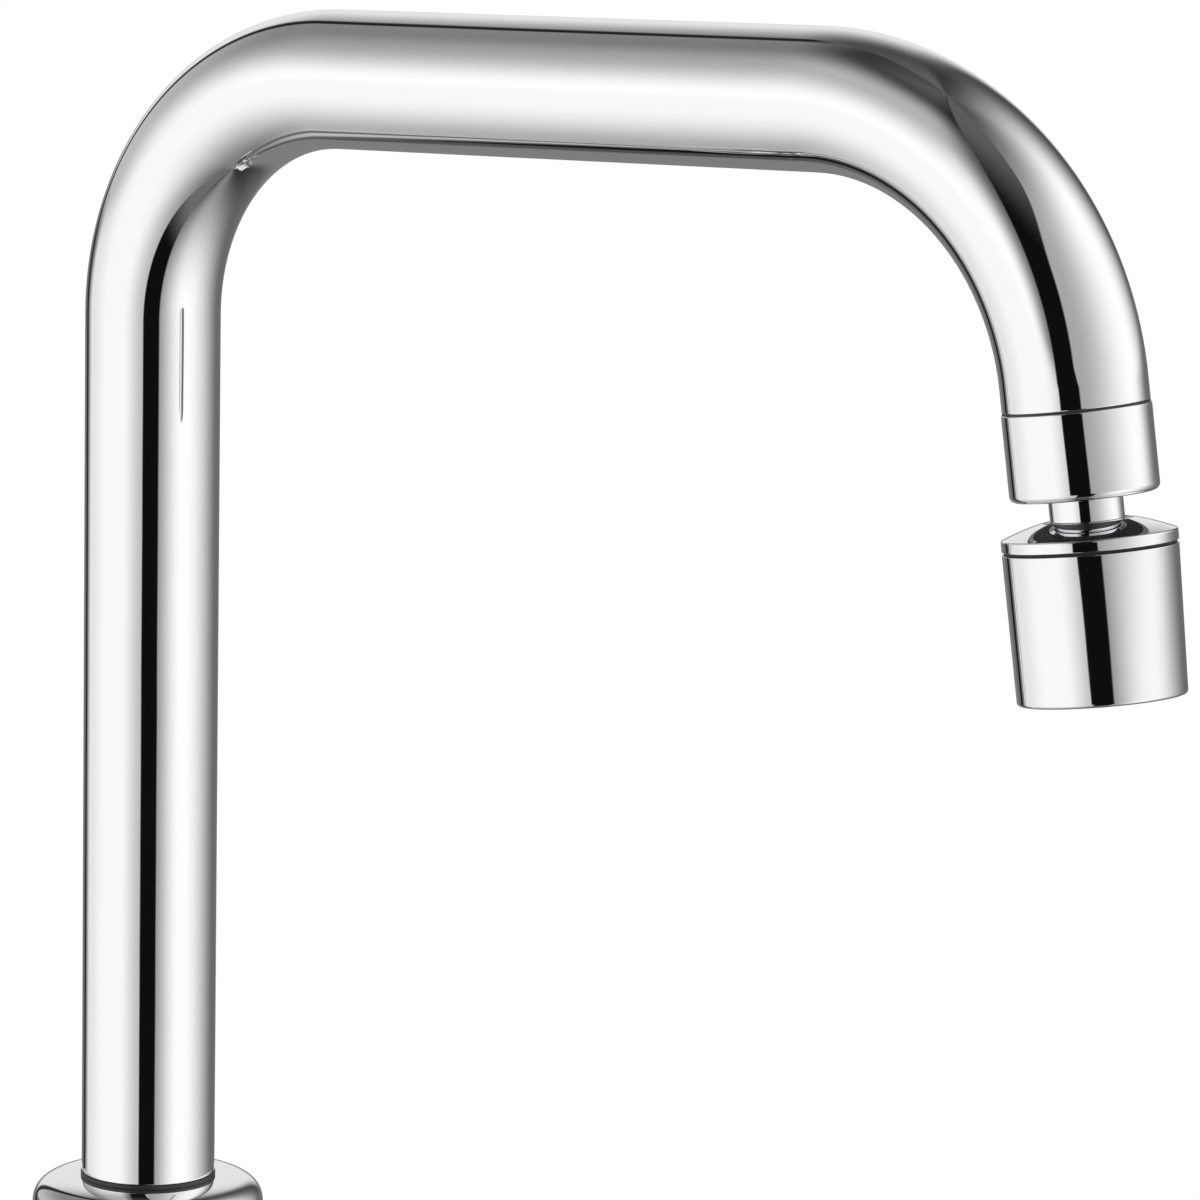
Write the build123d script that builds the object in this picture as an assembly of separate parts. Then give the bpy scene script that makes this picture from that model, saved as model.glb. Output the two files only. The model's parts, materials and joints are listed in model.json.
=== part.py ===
"""Kitchen mixer tap with a swivel spout, a ball-jointed outlet and a side lever.

Millimetres, +Z up. The origin is the centre of the base's underside, on the worktop.
The riser's axis is Z, the spout reaches towards -Y and the lever is on the +X side.
"""
from build123d import *
import math
import os

# Clearances
SLIDING = 0.05      # radial gap of a running or sealing fit
FITTED = 0.10       # radial gap between fixed pieces that thread or press together
BALL_GAP = 0.15     # radial gap of the ball joint's spherical faces

# Spout tube and its route
TUBE_OD = 28.2
TUBE_WALL = 1.5
RISER_HEIGHT = 234.1    # foot ring to the first corner of the route
RUN_LENGTH = 222.1      # first corner to second corner
NOSE_TAIL = 4.445       # straight tube between the outer bend and the spout's end
RUN_RISE = 2.5          # degrees that the run climbs outwards
NOSE_LEAN = 8.9         # degrees between the spout's end and the vertical
INNER_BEND_R = 52.7
OUTER_BEND_R = 58.0

# Body
BODY_OD = 49.0
BODY_HEIGHT = 150.0
SHOULDER_RUN = 10.1     # radial width of the domed shoulder
SHOULDER_DROP = 6.6
FOOT_RING_HEIGHT = 0.9
FOOT_RING_PLAY = 0.6    # radial gap round the spigot
SOCKET_R = 11.6
SOCKET_DEPTH = 42.0

# Base and fixing under the worktop
GASKET_THICK = 1.5
BASE_RING_WIDTH = 2.0   # how far the base ring stands out from the body
BASE_RING_HEIGHT = 5.5
BASE_RING_ROUND = 1.4
GASKET_INSET = 0.5      # gasket's edge inside the base ring's
SEAT_BORE_R = 17.0
WORKTOP = 38.0
STUD_R = 4.0
STUD_X = 12.0
STUD_GRIP = 14.0
STUD_TAIL = 75.0        # from the worktop's top to the stud's lower end
CLAMP_R = 25.0
CLAMP_SLOT = 30.0
CLAMP_RUBBER = 3.0
CLAMP_STEEL = 2.5
CLAMP_PLAY = 0.3        # radial gap round the stud
NUT_FLATS = 13.0
NUT_LENGTH = 20.0
NUT_CHAMFER = 0.8

# Water ways in the body
INLET_X = -4.0
INLET_Y = 8.0
INLET_THREAD_R = 4.6
INLET_DEPTH = 12.0
WATERWAY_R = 3.2
OUTLET_WAY_R = 5.0

# Cartridge, along +X from the body's axis
LEVER_Z = 60.0
BOSS_R = 22.5
BOSS_END = 40.0
BOSS_BLEND = 3.0        # fillet between the boss and the body
REBATE_R = 21.0
REBATE_LENGTH = 4.0
POCKET_R = 17.5
POCKET_FLOOR = 4.0
NUT_RECESS = 33.0
NUT_RECESS_R = 19.0
PORT_Y = 8.0
PORT_DROP = 3.0
PORT_RISE = 8.0
PORT_R = 3.0
SEAL_R = 4.5
SEAL_WALL = 1.2
SEAL_THICK = 1.5
SEAL_SQUEEZE = 0.3      # gap under the cartridge's foot that the seals fill
CAN_PLAY = 0.3          # radial gap between the cartridge and its pocket
BASE_PLATE = 4.0
DISC_R = 14.0
DISC_THICK = 3.0
MOVING_R = 10.5
MOVING_THICK = 2.5
MIXING_HOLLOW = (11.0, 9.0, 1.5)    # length, width and depth in the moving disc's underside
MIXING_SHIFT = 2.0
CARRIER_THICK = 4.5
CARRIER_FLOOR = 0.4
HOUSING_WALL = 2.0
HOUSING_LID = 3.0
ROTOR_R = 9.0
ROTOR_FOOT = 20.0
ROTOR_HEAD = 36.0
ROTOR_FLANGE_R = 14.8
ROTOR_FLANGE = 3.3
PIVOT_X = 30.0
PIVOT_PIN_R = 2.0
SPINDLE_R = 4.0
SPINDLE_ARM = 13.0
SPINDLE_BALL_R = 2.6
LIFT_HALF = 12.5        # degrees that the spindle leans each side of the cartridge's axis
RETAINER_BORE_R = 11.5
RETAINER_DROP = 1.5     # nut's top below the boss's
RETAINER_NOTCH = (4.0, 3.0, 1.0)    # length, width and depth
CAP_SPHERE_R = 25.5
CAP_WALL = 1.3
CAP_HOLE_R = 11.0

# Lever handle, about the pivot
HUB_INNER_R = 26.1
HUB_EDGE = 50.0         # degrees from the spindle's axis to the skirt's edge
HUB_EDGE_WALL = 2.5
HUB_APEX = 38.0
PADDLE_HEIGHT = 66.0
PADDLE_X = 60.5
PADDLE_SECTIONS = (     # height, shift along X, width and thickness
    (8.0, 0.0, 20.0, 8.6),
    (26.0, 0.4, 17.0, 7.4),
    (46.0, 1.2, 15.2, 6.2),
    (PADDLE_HEIGHT, 2.6, 14.4, 5.2),
)
PADDLE_CORNER = 0.42    # rounding of a section's corners, as a share of its thickness
PADDLE_TIP = 2.0
HANDLE_BLEND = 2.0      # fillet between the paddle and the hub
GRUB_R = 2.5
GRUB_LENGTH = 6.0
GRUB_AT = 31.0
GRUB_SOCKET_R = 1.25
GRUB_SOCKET_DEPTH = 2.5
PLUG_R = 4.0

# Spigot that carries the spout in the body
SPIGOT_BORE_R = 8.0
SPIGOT_IN_TUBE = 14.0
SPIGOT_IN_BODY = 38.0
SCREW_DROP = 9.0        # body's top down to the set screw
SCREW_GROOVE = 4.0
SCREW_GROOVE_R = 10.0
SCREW_SINK = 1.5        # screw's outer end below the body's surface
SLIDE_RING_LENGTH = 2.8
SLIDE_RING_DEPTH = 0.8
SLIDE_RING_DROPS = (4.0, 34.5)
O_RING_R = 1.1
O_RING_DROPS = (16.5, 25.5)

# Outlet collar and ball stem, along the spout end's axis from its seam
SEAM_GAP = 0.15
COLLAR_R = 14.3
COLLAR_LENGTH = 17.0
COLLAR_ROUND = 1.6
COLLAR_LIP = 2.5
BUSH_IN_TUBE = 12.0
BUSH_SHORT = 0.445      # keeps the bush's snug length out of the bend
BUSH_RELIEF = 0.7
BUSH_OUT = 8.0
BUSH_THREAD_R = 11.0
BUSH_BORE_R = 8.5
SEAL_RING = 1.9
STEM_FLANGE_R = 10.8
STEM_FLANGE = 3.9
STEM_RING_R = 1.15
NECK_R = 6.75
STEM_BORE_R = 4.2
BALL_R = 9.5
BALL_AT = 26.4
BALL_FLAT = 7.6

# Head, along its own axis from the ball's centre
HEAD_TILT_IN = 0.9      # degrees that the head hangs nearer the vertical than the spout's end
HEAD_TILT_SIDE = 0.7
HEAD_R = 16.8
HEAD_TAPER = 1.1        # degrees a side
RIM_TOP = -2.1
RIM_BOTTOM = 0.05
RIM_ROUND = 0.4
HEAD_SEAM = 0.3
OPENING_R = 8.5
OPENING_TOP = -4.9
CONE_BULGE = 0.18
SEAT_WALL = 1.25
SEAT_FROM = 82.0        # degrees from the head's upper pole to the seat ring's upper edge
SEAT_TO = 113.0
POCKET_FROM = 70.0
CAP_SKIRT_R = 14.7
CAP_SKIRT_END = 6.0
SHELL_END = 29.3
SHELL_LIP = 1.8
SHELL_LIP_R = 13.4
SHELL_ROUND = 0.7
LOWER_SEAT_TOP = 6.3
LOWER_SEAT_END = 11.5
LOWER_SEAT_BORE_R = 5.0
HEAD_SEAL = 1.5
AERATOR_WALL = 1.7
AERATOR_TOP = 2.0
SCREEN_THICK = 0.6
SCREEN_AT = (4.0, 6.5)  # below the aerator housing's top
GRID_THICK = 2.4
GRID_DROP = 0.9         # grid's underside below the housing's
CELL_PITCH = 3.4
CELL_WALL = 0.6
JETS = 8
JET_R = 0.9
SCREEN_HOLE_R = 1.1
SCREEN_PITCH = 4.6

# Hot and cold mark above the boss
MARK_R = 2.6
MARK_ABOVE = 9.5        # its centre above the boss
MARK_DEPTH = 1.2
MARK_PROUD = 0.12

# Worked-out places
BODY_R = BODY_OD / 2
BASE_RING_R = BODY_R + BASE_RING_WIDTH
FOOT_TOP = BODY_HEIGHT + FOOT_RING_HEIGHT
NOSE_LENGTH = NOSE_TAIL + OUTER_BEND_R * math.tan(math.radians((90 + RUN_RISE - NOSE_LEAN) / 2))
BUSH_FIT = NOSE_TAIL - BUSH_SHORT
TUBE_START = FOOT_TOP + SLIDING
TUBE_R = TUBE_OD / 2
TUBE_BORE_R = TUBE_R - TUBE_WALL
SPIGOT_R = SOCKET_R - FITTED
SCREW_Z = BODY_HEIGHT - SCREW_DROP
MARK_Z = LEVER_Z + BOSS_R + MARK_ABOVE
CAN_R = POCKET_R - CAN_PLAY
PLATE_TOP = POCKET_FLOOR + SEAL_SQUEEZE + BASE_PLATE
CHAMBER_R = BUSH_THREAD_R + SLIDING
HEAD_POCKET_R = BALL_R + BALL_GAP + SEAT_WALL + BALL_GAP

side_at = Plane(origin=(0, 0, LEVER_Z), x_dir=(0, 1, 0), z_dir=(1, 0, 0)).location
pivot_at = side_at * Pos(0, 0, PIVOT_X)
lever_at = pivot_at * Rot(-LIFT_HALF, 0, 0)


def polar(radius, degrees_from_pole):
    """Radius and height of a point on a sphere, measured from its upper pole (heights run down)."""
    angle = math.radians(degrees_from_pole)
    return (radius * math.sin(angle), -radius * math.cos(angle))


def on_sphere(radius, across):
    """Height above the centre at which a sphere is this far from its axis."""
    return math.sqrt(radius ** 2 - across ** 2)


def turned(outline):
    """Solid turned about Z from a closed outline of radius and height."""
    return revolve(Plane.XZ * make_face(outline), Axis.Z)


def turned_corners(*corners):
    """Solid turned about Z from straight lines between corners of (radius, height)."""
    return turned(Polyline(*corners, close=True))


def rod(radius, bottom, top):
    """Cylinder about Z between two heights."""
    return Pos(0, 0, bottom) * Cylinder(radius, top - bottom, align=(Align.CENTER, Align.CENTER, Align.MIN))


def ring(outer, inner, bottom, top):
    """Plain ring about Z between two heights."""
    return rod(outer, bottom, top) - rod(inner, bottom, top)


def hex_socket(depth_from):
    """Hexagon key's socket in a grub screw, cut down from this height."""
    socket = extrude(RegularPolygon(GRUB_SOCKET_R, 6, major_radius=False), GRUB_SOCKET_DEPTH)
    return Pos(0, 0, depth_from - GRUB_SOCKET_DEPTH) * socket


def o_ring(centre_r, wire_r, height):
    """Rubber ring about Z."""
    return Pos(0, 0, height) * Torus(centre_r, wire_r)


# The spout's route

def spout_corners():
    """Corners of the tube's centre line, from its foot to the spout's end."""
    rise = math.radians(RUN_RISE)
    lean = math.radians(NOSE_LEAN)
    foot = Vector(0, 0, TUBE_START)
    first = Vector(0, 0, FOOT_TOP + RISER_HEIGHT)
    second = first + RUN_LENGTH * Vector(0, -math.cos(rise), math.sin(rise))
    end = second + NOSE_LENGTH * Vector(0, -math.sin(lean), -math.cos(lean))
    return [foot, first, second, end]


corners = spout_corners()
nose_direction = (corners[3] - corners[2]).normalized()
end_at = Plane(origin=corners[3], x_dir=(1, 0, 0), z_dir=nose_direction).location
ball_at = end_at * Pos(0, 0, BALL_AT)
head_at = ball_at * Rot(HEAD_TILT_IN, -HEAD_TILT_SIDE, 0)


# Body and base

def body_casting():
    """Turned body with a domed shoulder and a side boss for the cartridge, cored for the water."""
    flat = BODY_R - SHOULDER_RUN
    shoulder = BODY_HEIGHT - SHOULDER_DROP
    column = turned(
        Line((0, GASKET_THICK), (BODY_R, GASKET_THICK))
        + Line((BODY_R, GASKET_THICK), (BODY_R, shoulder))
        + EllipticalCenterArc((flat, shoulder), SHOULDER_RUN, SHOULDER_DROP, start_angle=0, arc_size=90)
        + Line((flat, BODY_HEIGHT), (0, BODY_HEIGHT))
        + Line((0, BODY_HEIGHT), (0, GASKET_THICK))
    )
    casting = column + side_at * rod(BOSS_R, 0, BOSS_END - REBATE_LENGTH)
    corner = casting.edges().filter_by(lambda edge: edge.geom_type not in (GeomType.LINE, GeomType.CIRCLE))
    corner = corner.filter_by(lambda edge: edge.center().X > 0 and edge.center().Z < shoulder - 1)
    casting = fillet(corner, BOSS_BLEND) + side_at * rod(REBATE_R, BOSS_END / 2, BOSS_END)
    pocket = rod(POCKET_R, POCKET_FLOOR, BOSS_END) + rod(NUT_RECESS_R, NUT_RECESS, BOSS_END)
    casting -= side_at * pocket
    casting -= rod(SOCKET_R, BODY_HEIGHT - SOCKET_DEPTH, BODY_HEIGHT)
    casting -= water_ways()
    casting -= Pos(STUD_X, 0, 0) * rod(STUD_R + SLIDING, 0, GASKET_THICK + STUD_GRIP + 1)
    casting -= Plane.XZ * Pos(0, SCREW_Z, 0) * rod(GRUB_R + SLIDING, -BODY_R, 0)
    return casting - Pos(0, 0, MARK_Z) * Rot(0, 90, 0) * rod(MARK_R + SLIDING, BODY_R - MARK_DEPTH, BODY_R)


def hot_cold_mark():
    """Enamelled disc let into the body above the boss."""
    disc = rod(MARK_R, BODY_R - MARK_DEPTH, BODY_R + MARK_PROUD)
    rim = disc.edges().group_by(Axis.Z)[-1]
    return Pos(0, 0, MARK_Z) * Rot(0, 90, 0) * fillet(rim, MARK_PROUD)


def water_ways():
    """The cores: two inlets up to the cartridge and one way from it to the spout's socket."""
    low = LEVER_Z - PORT_DROP
    high = LEVER_Z + PORT_RISE
    cores = Pos(INLET_X / 2, 0, 0) * rod(OUTLET_WAY_R, high, BODY_HEIGHT - SOCKET_DEPTH)
    cores += side_at * Pos(0, PORT_RISE, 0) * rod(PORT_R, INLET_X, POCKET_FLOOR)
    for side in (-1, 1):
        inlet = rod(INLET_THREAD_R, 0, GASKET_THICK + INLET_DEPTH) + rod(WATERWAY_R, 0, low)
        cores += Pos(INLET_X, side * INLET_Y, 0) * inlet
        cores += side_at * Pos(side * PORT_Y, -PORT_DROP, 0) * rod(PORT_R, INLET_X, POCKET_FLOOR)
    return cores


def base_ring():
    """Chrome ring that trims the body's foot."""
    trim = ring(BASE_RING_R, BODY_R + FITTED, GASKET_THICK, GASKET_THICK + BASE_RING_HEIGHT)
    rim = trim.edges().filter_by(GeomType.CIRCLE).group_by(Axis.Z)[-1].sort_by(SortBy.RADIUS)[-1]
    return fillet(rim, BASE_RING_ROUND)


def base_gasket():
    """Rubber gasket on the worktop."""
    return ring(BASE_RING_R - GASKET_INSET, SEAT_BORE_R, 0, GASKET_THICK)


def foot_ring():
    """Dark slide washer between the body and the spout."""
    return ring(COLLAR_R, SOCKET_R + FOOT_RING_PLAY, BODY_HEIGHT, FOOT_TOP)


def clamp_plate(top, thick):
    """Horseshoe that passes the inlet hoses and is held by the stud."""
    plate = rod(CLAMP_R, top - thick, top)
    slot_end = STUD_X - 2 * STUD_R
    reach = CLAMP_R + slot_end
    plate -= Pos(slot_end - reach / 2, 0, top - thick / 2) * Box(reach, CLAMP_SLOT, thick)
    return plate - Pos(STUD_X, 0, 0) * rod(STUD_R + CLAMP_PLAY, top - thick, top)


def mount_stud():
    return Pos(STUD_X, 0, 0) * rod(STUD_R, -STUD_TAIL, GASKET_THICK + STUD_GRIP)


def mounting_nut():
    """Long hexagon nut under the steel horseshoe."""
    top = -WORKTOP - CLAMP_RUBBER - CLAMP_STEEL
    flats = NUT_FLATS / 2
    corners_r = flats / math.cos(math.radians(30))
    hexagon = Pos(0, 0, top - NUT_LENGTH) * extrude(RegularPolygon(flats, 6, major_radius=False), NUT_LENGTH)
    barrel = turned_corners(
        (0, top), (flats, top), (corners_r, top - NUT_CHAMFER), (corners_r, top - NUT_LENGTH + NUT_CHAMFER),
        (flats, top - NUT_LENGTH), (0, top - NUT_LENGTH),
    )
    return Pos(STUD_X, 0, 0) * ((hexagon & barrel) - rod(STUD_R + SLIDING, top - NUT_LENGTH, top))


def spout_set_screw():
    """Grub screw at the back, whose tip runs in the spigot's groove."""
    seat = SPIGOT_R + 6 * FITTED
    tip = SCREW_GROOVE_R + 3 * FITTED
    head = BODY_R - SCREW_SINK
    screw = rod(GRUB_R, seat, head) + rod(SCREW_GROOVE / 2 - 4 * FITTED, tip, seat)
    return Pos(0, 0, SCREW_Z) * Rot(-90, 0, 0) * (screw - hex_socket(head))


# Cartridge

def port_places():
    """Places of the two inlets and the outlet in the cartridge's floor."""
    return [Pos(-PORT_Y, -PORT_DROP, 0), Pos(PORT_Y, -PORT_DROP, 0), Pos(0, PORT_RISE, 0)]


def port_seals():
    """Three rubber seals between the body and the cartridge."""
    seal = ring(SEAL_R, SEAL_R - SEAL_WALL, POCKET_FLOOR, POCKET_FLOOR + SEAL_THICK)
    return side_at * Compound([place * seal for place in port_places()])


def cartridge_base():
    """Plastic foot of the cartridge, with a recess round each port."""
    bottom = PLATE_TOP - BASE_PLATE
    foot = rod(CAN_R, bottom, PLATE_TOP)
    for place in port_places():
        foot -= place * (rod(PORT_R, bottom, PLATE_TOP) + rod(SEAL_R + FITTED, bottom, POCKET_FLOOR + SEAL_THICK))
    return side_at * foot


def fixed_disc():
    """Ceramic disc that stays, with the three ports."""
    disc = rod(DISC_R, PLATE_TOP, PLATE_TOP + DISC_THICK)
    for place in port_places():
        disc -= place * rod(PORT_R, PLATE_TOP, PLATE_TOP + DISC_THICK)
    return side_at * disc


def disc_offset():
    """The moving pieces sit this far below the cartridge's axis when the tap is shut."""
    return -SPINDLE_ARM * math.sin(math.radians(LIFT_HALF))


def moving_disc():
    """Ceramic disc that slides and turns on the fixed one, hollowed below to join the ports."""
    bottom = PLATE_TOP + DISC_THICK + SLIDING
    disc = rod(MOVING_R, bottom, bottom + MOVING_THICK)
    hollow = Pos(0, MIXING_SHIFT, bottom + MIXING_HOLLOW[2] / 2) * Box(*MIXING_HOLLOW)
    return side_at * Pos(0, disc_offset(), 0) * (disc - hollow)


def disc_carrier():
    """Plastic carrier on the moving disc, with the socket for the spindle's ball."""
    bottom = PLATE_TOP + DISC_THICK + SLIDING + MOVING_THICK
    top = bottom + CARRIER_THICK
    carrier = rod(MOVING_R, bottom, top) - rod(SPINDLE_BALL_R + 0.2, bottom + CARRIER_FLOOR, top)
    return side_at * Pos(0, disc_offset(), 0) * carrier


def cartridge_housing():
    """Plastic can round the discs, closed by a lid that guides the rotor."""
    inner = CAN_R - HOUSING_WALL
    lid = NUT_RECESS - HOUSING_LID
    return side_at * turned_corners(
        (inner, PLATE_TOP), (CAN_R, PLATE_TOP), (CAN_R, NUT_RECESS), (ROTOR_R, NUT_RECESS),
        (ROTOR_R, lid), (inner, lid),
    )


def spindle_rotor():
    """Plastic rotor that turns in the lid and is slotted for the spindle."""
    lid = NUT_RECESS - HOUSING_LID
    stem = ROTOR_R - FITTED
    rotor = rod(stem, ROTOR_FOOT, ROTOR_HEAD) + rod(ROTOR_FLANGE_R, lid - 0.2 - ROTOR_FLANGE, lid - 0.2)
    middle = (ROTOR_FOOT + ROTOR_HEAD) / 2
    rotor -= Pos(0, 0, middle) * Box(2 * SPINDLE_R + 0.4, 3.2 * SPINDLE_R, ROTOR_HEAD - ROTOR_FOOT)
    rotor -= Pos(0, 0, PIVOT_X) * Rot(0, 90, 0) * rod(PIVOT_PIN_R + SLIDING, -stem, stem)
    return side_at * rotor


def pivot_pin():
    half = ROTOR_R - 0.5
    return pivot_at * Rot(0, 90, 0) * rod(PIVOT_PIN_R, -half, half)


def spindle():
    """Brass spindle: a ball in the disc carrier, an eye on the pivot pin and a stem into the handle."""
    waist = SPINDLE_BALL_R - 0.6
    shaft = rod(waist, -SPINDLE_ARM, 0) + rod(SPINDLE_R, -SPINDLE_ARM + 5, HUB_APEX - 4.5)
    shaft += Pos(0, 0, -SPINDLE_ARM) * Sphere(SPINDLE_BALL_R)
    shaft -= Rot(0, 90, 0) * rod(PIVOT_PIN_R + 2 * SLIDING, -SPINDLE_R, SPINDLE_R)
    return lever_at * shaft


def retaining_nut():
    """Brass ring nut that holds the cartridge down."""
    bottom = NUT_RECESS + SLIDING
    top = BOSS_END - RETAINER_DROP
    length, width, depth = RETAINER_NOTCH
    nut = ring(NUT_RECESS_R - FITTED, RETAINER_BORE_R, bottom, top)
    for turn in range(4):
        notch = Pos(NUT_RECESS_R - length, 0, top - depth / 2) * Box(length, width, depth)
        nut -= Rot(0, 0, 90 * turn) * notch
    return side_at * nut


def cartridge_cap():
    """Chrome cap: a skirt over the boss's thread and a ball-shaped top that the handle rides round."""
    inner = CAP_SPHERE_R - CAP_WALL
    skirt_in = REBATE_R + FITTED
    skirt_end = BOSS_END - REBATE_LENGTH + SLIDING - PIVOT_X
    middle_out = (CAP_SPHERE_R * math.sin(math.radians(45)), CAP_SPHERE_R * math.cos(math.radians(45)))
    middle_in = (inner * math.sin(math.radians(45)), inner * math.cos(math.radians(45)))
    outer_low = (BOSS_R, on_sphere(CAP_SPHERE_R, BOSS_R))
    outer_top = (CAP_HOLE_R, on_sphere(CAP_SPHERE_R, CAP_HOLE_R))
    inner_top = (CAP_HOLE_R, on_sphere(inner, CAP_HOLE_R))
    inner_low = (skirt_in, on_sphere(inner, skirt_in))
    return pivot_at * turned(
        Line((skirt_in, skirt_end), (BOSS_R, skirt_end))
        + Line((BOSS_R, skirt_end), outer_low)
        + ThreePointArc(outer_low, middle_out, outer_top)
        + Line(outer_top, inner_top)
        + ThreePointArc(inner_top, middle_in, inner_low)
        + Line(inner_low, (skirt_in, skirt_end))
    )


# Lever

def hub_outer():
    """Centre and radius of the ball that the handle's dome follows."""
    edge = HUB_INNER_R + HUB_EDGE_WALL
    across, up = edge * math.sin(math.radians(HUB_EDGE)), edge * math.cos(math.radians(HUB_EDGE))
    centre = (HUB_APEX ** 2 - across ** 2 - up ** 2) / (2 * (HUB_APEX - up))
    return centre, HUB_APEX - centre


def hub_seam(edges):
    """The edges at which the paddle leaves the hub's dome."""
    centre, radius = hub_outer()
    middle = (lever_at * Pos(0, 0, centre)).position
    return edges.filter_by(lambda edge: all(abs((edge @ at - middle).length - radius) < 0.05 for at in (0, 0.5, 1)))


def lever_handle():
    """Domed hub over the cap, with a paddle that stands up when the tap is shut."""
    centre, radius = hub_outer()
    edge = math.radians(HUB_EDGE)
    low = (HUB_INNER_R * math.sin(edge), HUB_INNER_R * math.cos(edge))
    high = ((HUB_INNER_R + HUB_EDGE_WALL) * math.sin(edge), (HUB_INNER_R + HUB_EDGE_WALL) * math.cos(edge))
    inner_mid = (HUB_INNER_R * math.sin(edge / 2), HUB_INNER_R * math.cos(edge / 2))
    outer_mid = (radius * math.sin(edge), centre + radius * math.cos(edge))
    hub = turned(
        Line(low, high)
        + ThreePointArc(high, outer_mid, (0, HUB_APEX))
        + Line((0, HUB_APEX), (0, HUB_INNER_R))
        + ThreePointArc((0, HUB_INNER_R), inner_mid, low)
    )
    handle = lever_at * hub + side_at * paddle()
    seam = handle.edges().filter_by(lambda edge: edge.geom_type not in (GeomType.LINE, GeomType.CIRCLE))
    handle = fillet(hub_seam(seam), HANDLE_BLEND)
    handle -= lever_at * rod(SPINDLE_R + SLIDING, 0, HUB_APEX - 4)
    handle -= lever_at * Pos(0, 0, GRUB_AT) * Rot(90, 0, 0) * (
        rod(GRUB_R + SLIDING, 0, PLUG_R + GRUB_LENGTH + 3) + rod(PLUG_R + SLIDING, PLUG_R + GRUB_LENGTH + 1, BOSS_R)
    )
    return handle


def paddle():
    """Tapered blade, thickest at the hub, as sections across its height."""
    sections = []
    for height, shift, width, thick in PADDLE_SECTIONS:
        section = RectangleRounded(width, thick, PADDLE_CORNER * thick)
        plane = Plane(origin=(0, height, PADDLE_X + shift), x_dir=(1, 0, 0), z_dir=(0, 1, 0))
        sections.append(plane * section)
    blade = loft(sections)
    tip = blade.faces().sort_by(Axis.Y)[-1]
    return fillet(tip.edges(), PADDLE_TIP)


def lever_screw():
    """Grub screw that grips the spindle."""
    start = SPINDLE_R + SLIDING
    screw = rod(GRUB_R, start, start + GRUB_LENGTH) - hex_socket(start + GRUB_LENGTH)
    return lever_at * Pos(0, 0, GRUB_AT) * Rot(90, 0, 0) * screw


def screw_plug():
    """Plain plug over the grub screw."""
    centre, radius = hub_outer()
    surface = math.sqrt(radius ** 2 - (GRUB_AT - centre) ** 2)
    return lever_at * Pos(0, 0, GRUB_AT) * Rot(90, 0, 0) * rod(PLUG_R, PLUG_R + GRUB_LENGTH + 1.1, surface - 0.1)


# Spout

def spout_tube():
    """One tube through two bends, open at both ends."""
    route = FilletPolyline(*corners, radius=[INNER_BEND_R, OUTER_BEND_R])
    section = Pos(0, 0, TUBE_START) * (Circle(TUBE_R) - Circle(TUBE_BORE_R))
    return sweep(section, path=route)


def spout_spigot():
    """Brass spigot brazed in the tube's foot, grooved for its rings and the set screw."""
    spigot = rod(TUBE_BORE_R - SLIDING, TUBE_START, TUBE_START + SPIGOT_IN_TUBE)
    spigot += rod(SPIGOT_R, BODY_HEIGHT - SPIGOT_IN_BODY, TUBE_START)
    spigot -= rod(SPIGOT_BORE_R, BODY_HEIGHT - SPIGOT_IN_BODY, TUBE_START + SPIGOT_IN_TUBE)
    half = SCREW_GROOVE / 2
    spigot -= ring(SPIGOT_R + 1, SCREW_GROOVE_R, SCREW_Z - half, SCREW_Z + half)
    for drop in SLIDE_RING_DROPS:
        half = SLIDE_RING_LENGTH / 2 + FITTED
        floor = SPIGOT_R - SLIDE_RING_DEPTH
        spigot -= ring(SPIGOT_R + 1, floor, BODY_HEIGHT - drop - half, BODY_HEIGHT - drop + half)
    for drop in O_RING_DROPS:
        half = O_RING_R + FITTED
        floor = SOCKET_R - SLIDING - 2 * O_RING_R - SLIDING
        spigot -= ring(SPIGOT_R + 1, floor, BODY_HEIGHT - drop - half, BODY_HEIGHT - drop + half)
    return spigot


def spigot_slide_rings():
    """Two plastic rings that centre the spigot in the body."""
    outer = SOCKET_R - SLIDING
    inner = SPIGOT_R - SLIDE_RING_DEPTH + SLIDING
    half = SLIDE_RING_LENGTH / 2
    return Compound([ring(outer, inner, BODY_HEIGHT - d - half, BODY_HEIGHT - d + half) for d in SLIDE_RING_DROPS])


def spigot_o_rings():
    """Two rubber rings that seal the spigot in the body."""
    centre = SOCKET_R - SLIDING - O_RING_R
    return Compound([o_ring(centre, O_RING_R, BODY_HEIGHT - d) for d in O_RING_DROPS])


def spout_end_bush():
    """Brass bush brazed in the spout's end, with the collar's thread on its nose."""
    bush = rod(TUBE_BORE_R - BUSH_RELIEF, -BUSH_IN_TUBE, -BUSH_FIT) + rod(TUBE_BORE_R - SLIDING, -BUSH_FIT, 0)
    bush += rod(BUSH_THREAD_R, 0, BUSH_OUT)
    return end_at * (bush - rod(BUSH_BORE_R, -BUSH_IN_TUBE, BUSH_OUT))


def outlet_collar():
    """Chrome collar that screws on the bush and holds the ball stem by its lip."""
    collar = ring(COLLAR_R, CHAMBER_R, SEAM_GAP, COLLAR_LENGTH - COLLAR_LIP)
    collar += ring(COLLAR_R, NECK_R + 4 * SLIDING, COLLAR_LENGTH - COLLAR_LIP, COLLAR_LENGTH)
    rims = collar.edges().filter_by(GeomType.CIRCLE).group_by(Axis.Z)
    collar = fillet(rims[-1].sort_by(SortBy.RADIUS)[-1], COLLAR_ROUND)
    rims = collar.edges().filter_by(GeomType.CIRCLE).group_by(Axis.Z)
    return end_at * fillet(rims[0].sort_by(SortBy.RADIUS)[-1], 2 * SEAM_GAP)


def collar_seal():
    """Flat rubber seal between the bush and the stem's flange."""
    return end_at * ring(CHAMBER_R - FITTED, NECK_R, BUSH_OUT, BUSH_OUT + SEAL_RING)


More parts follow.
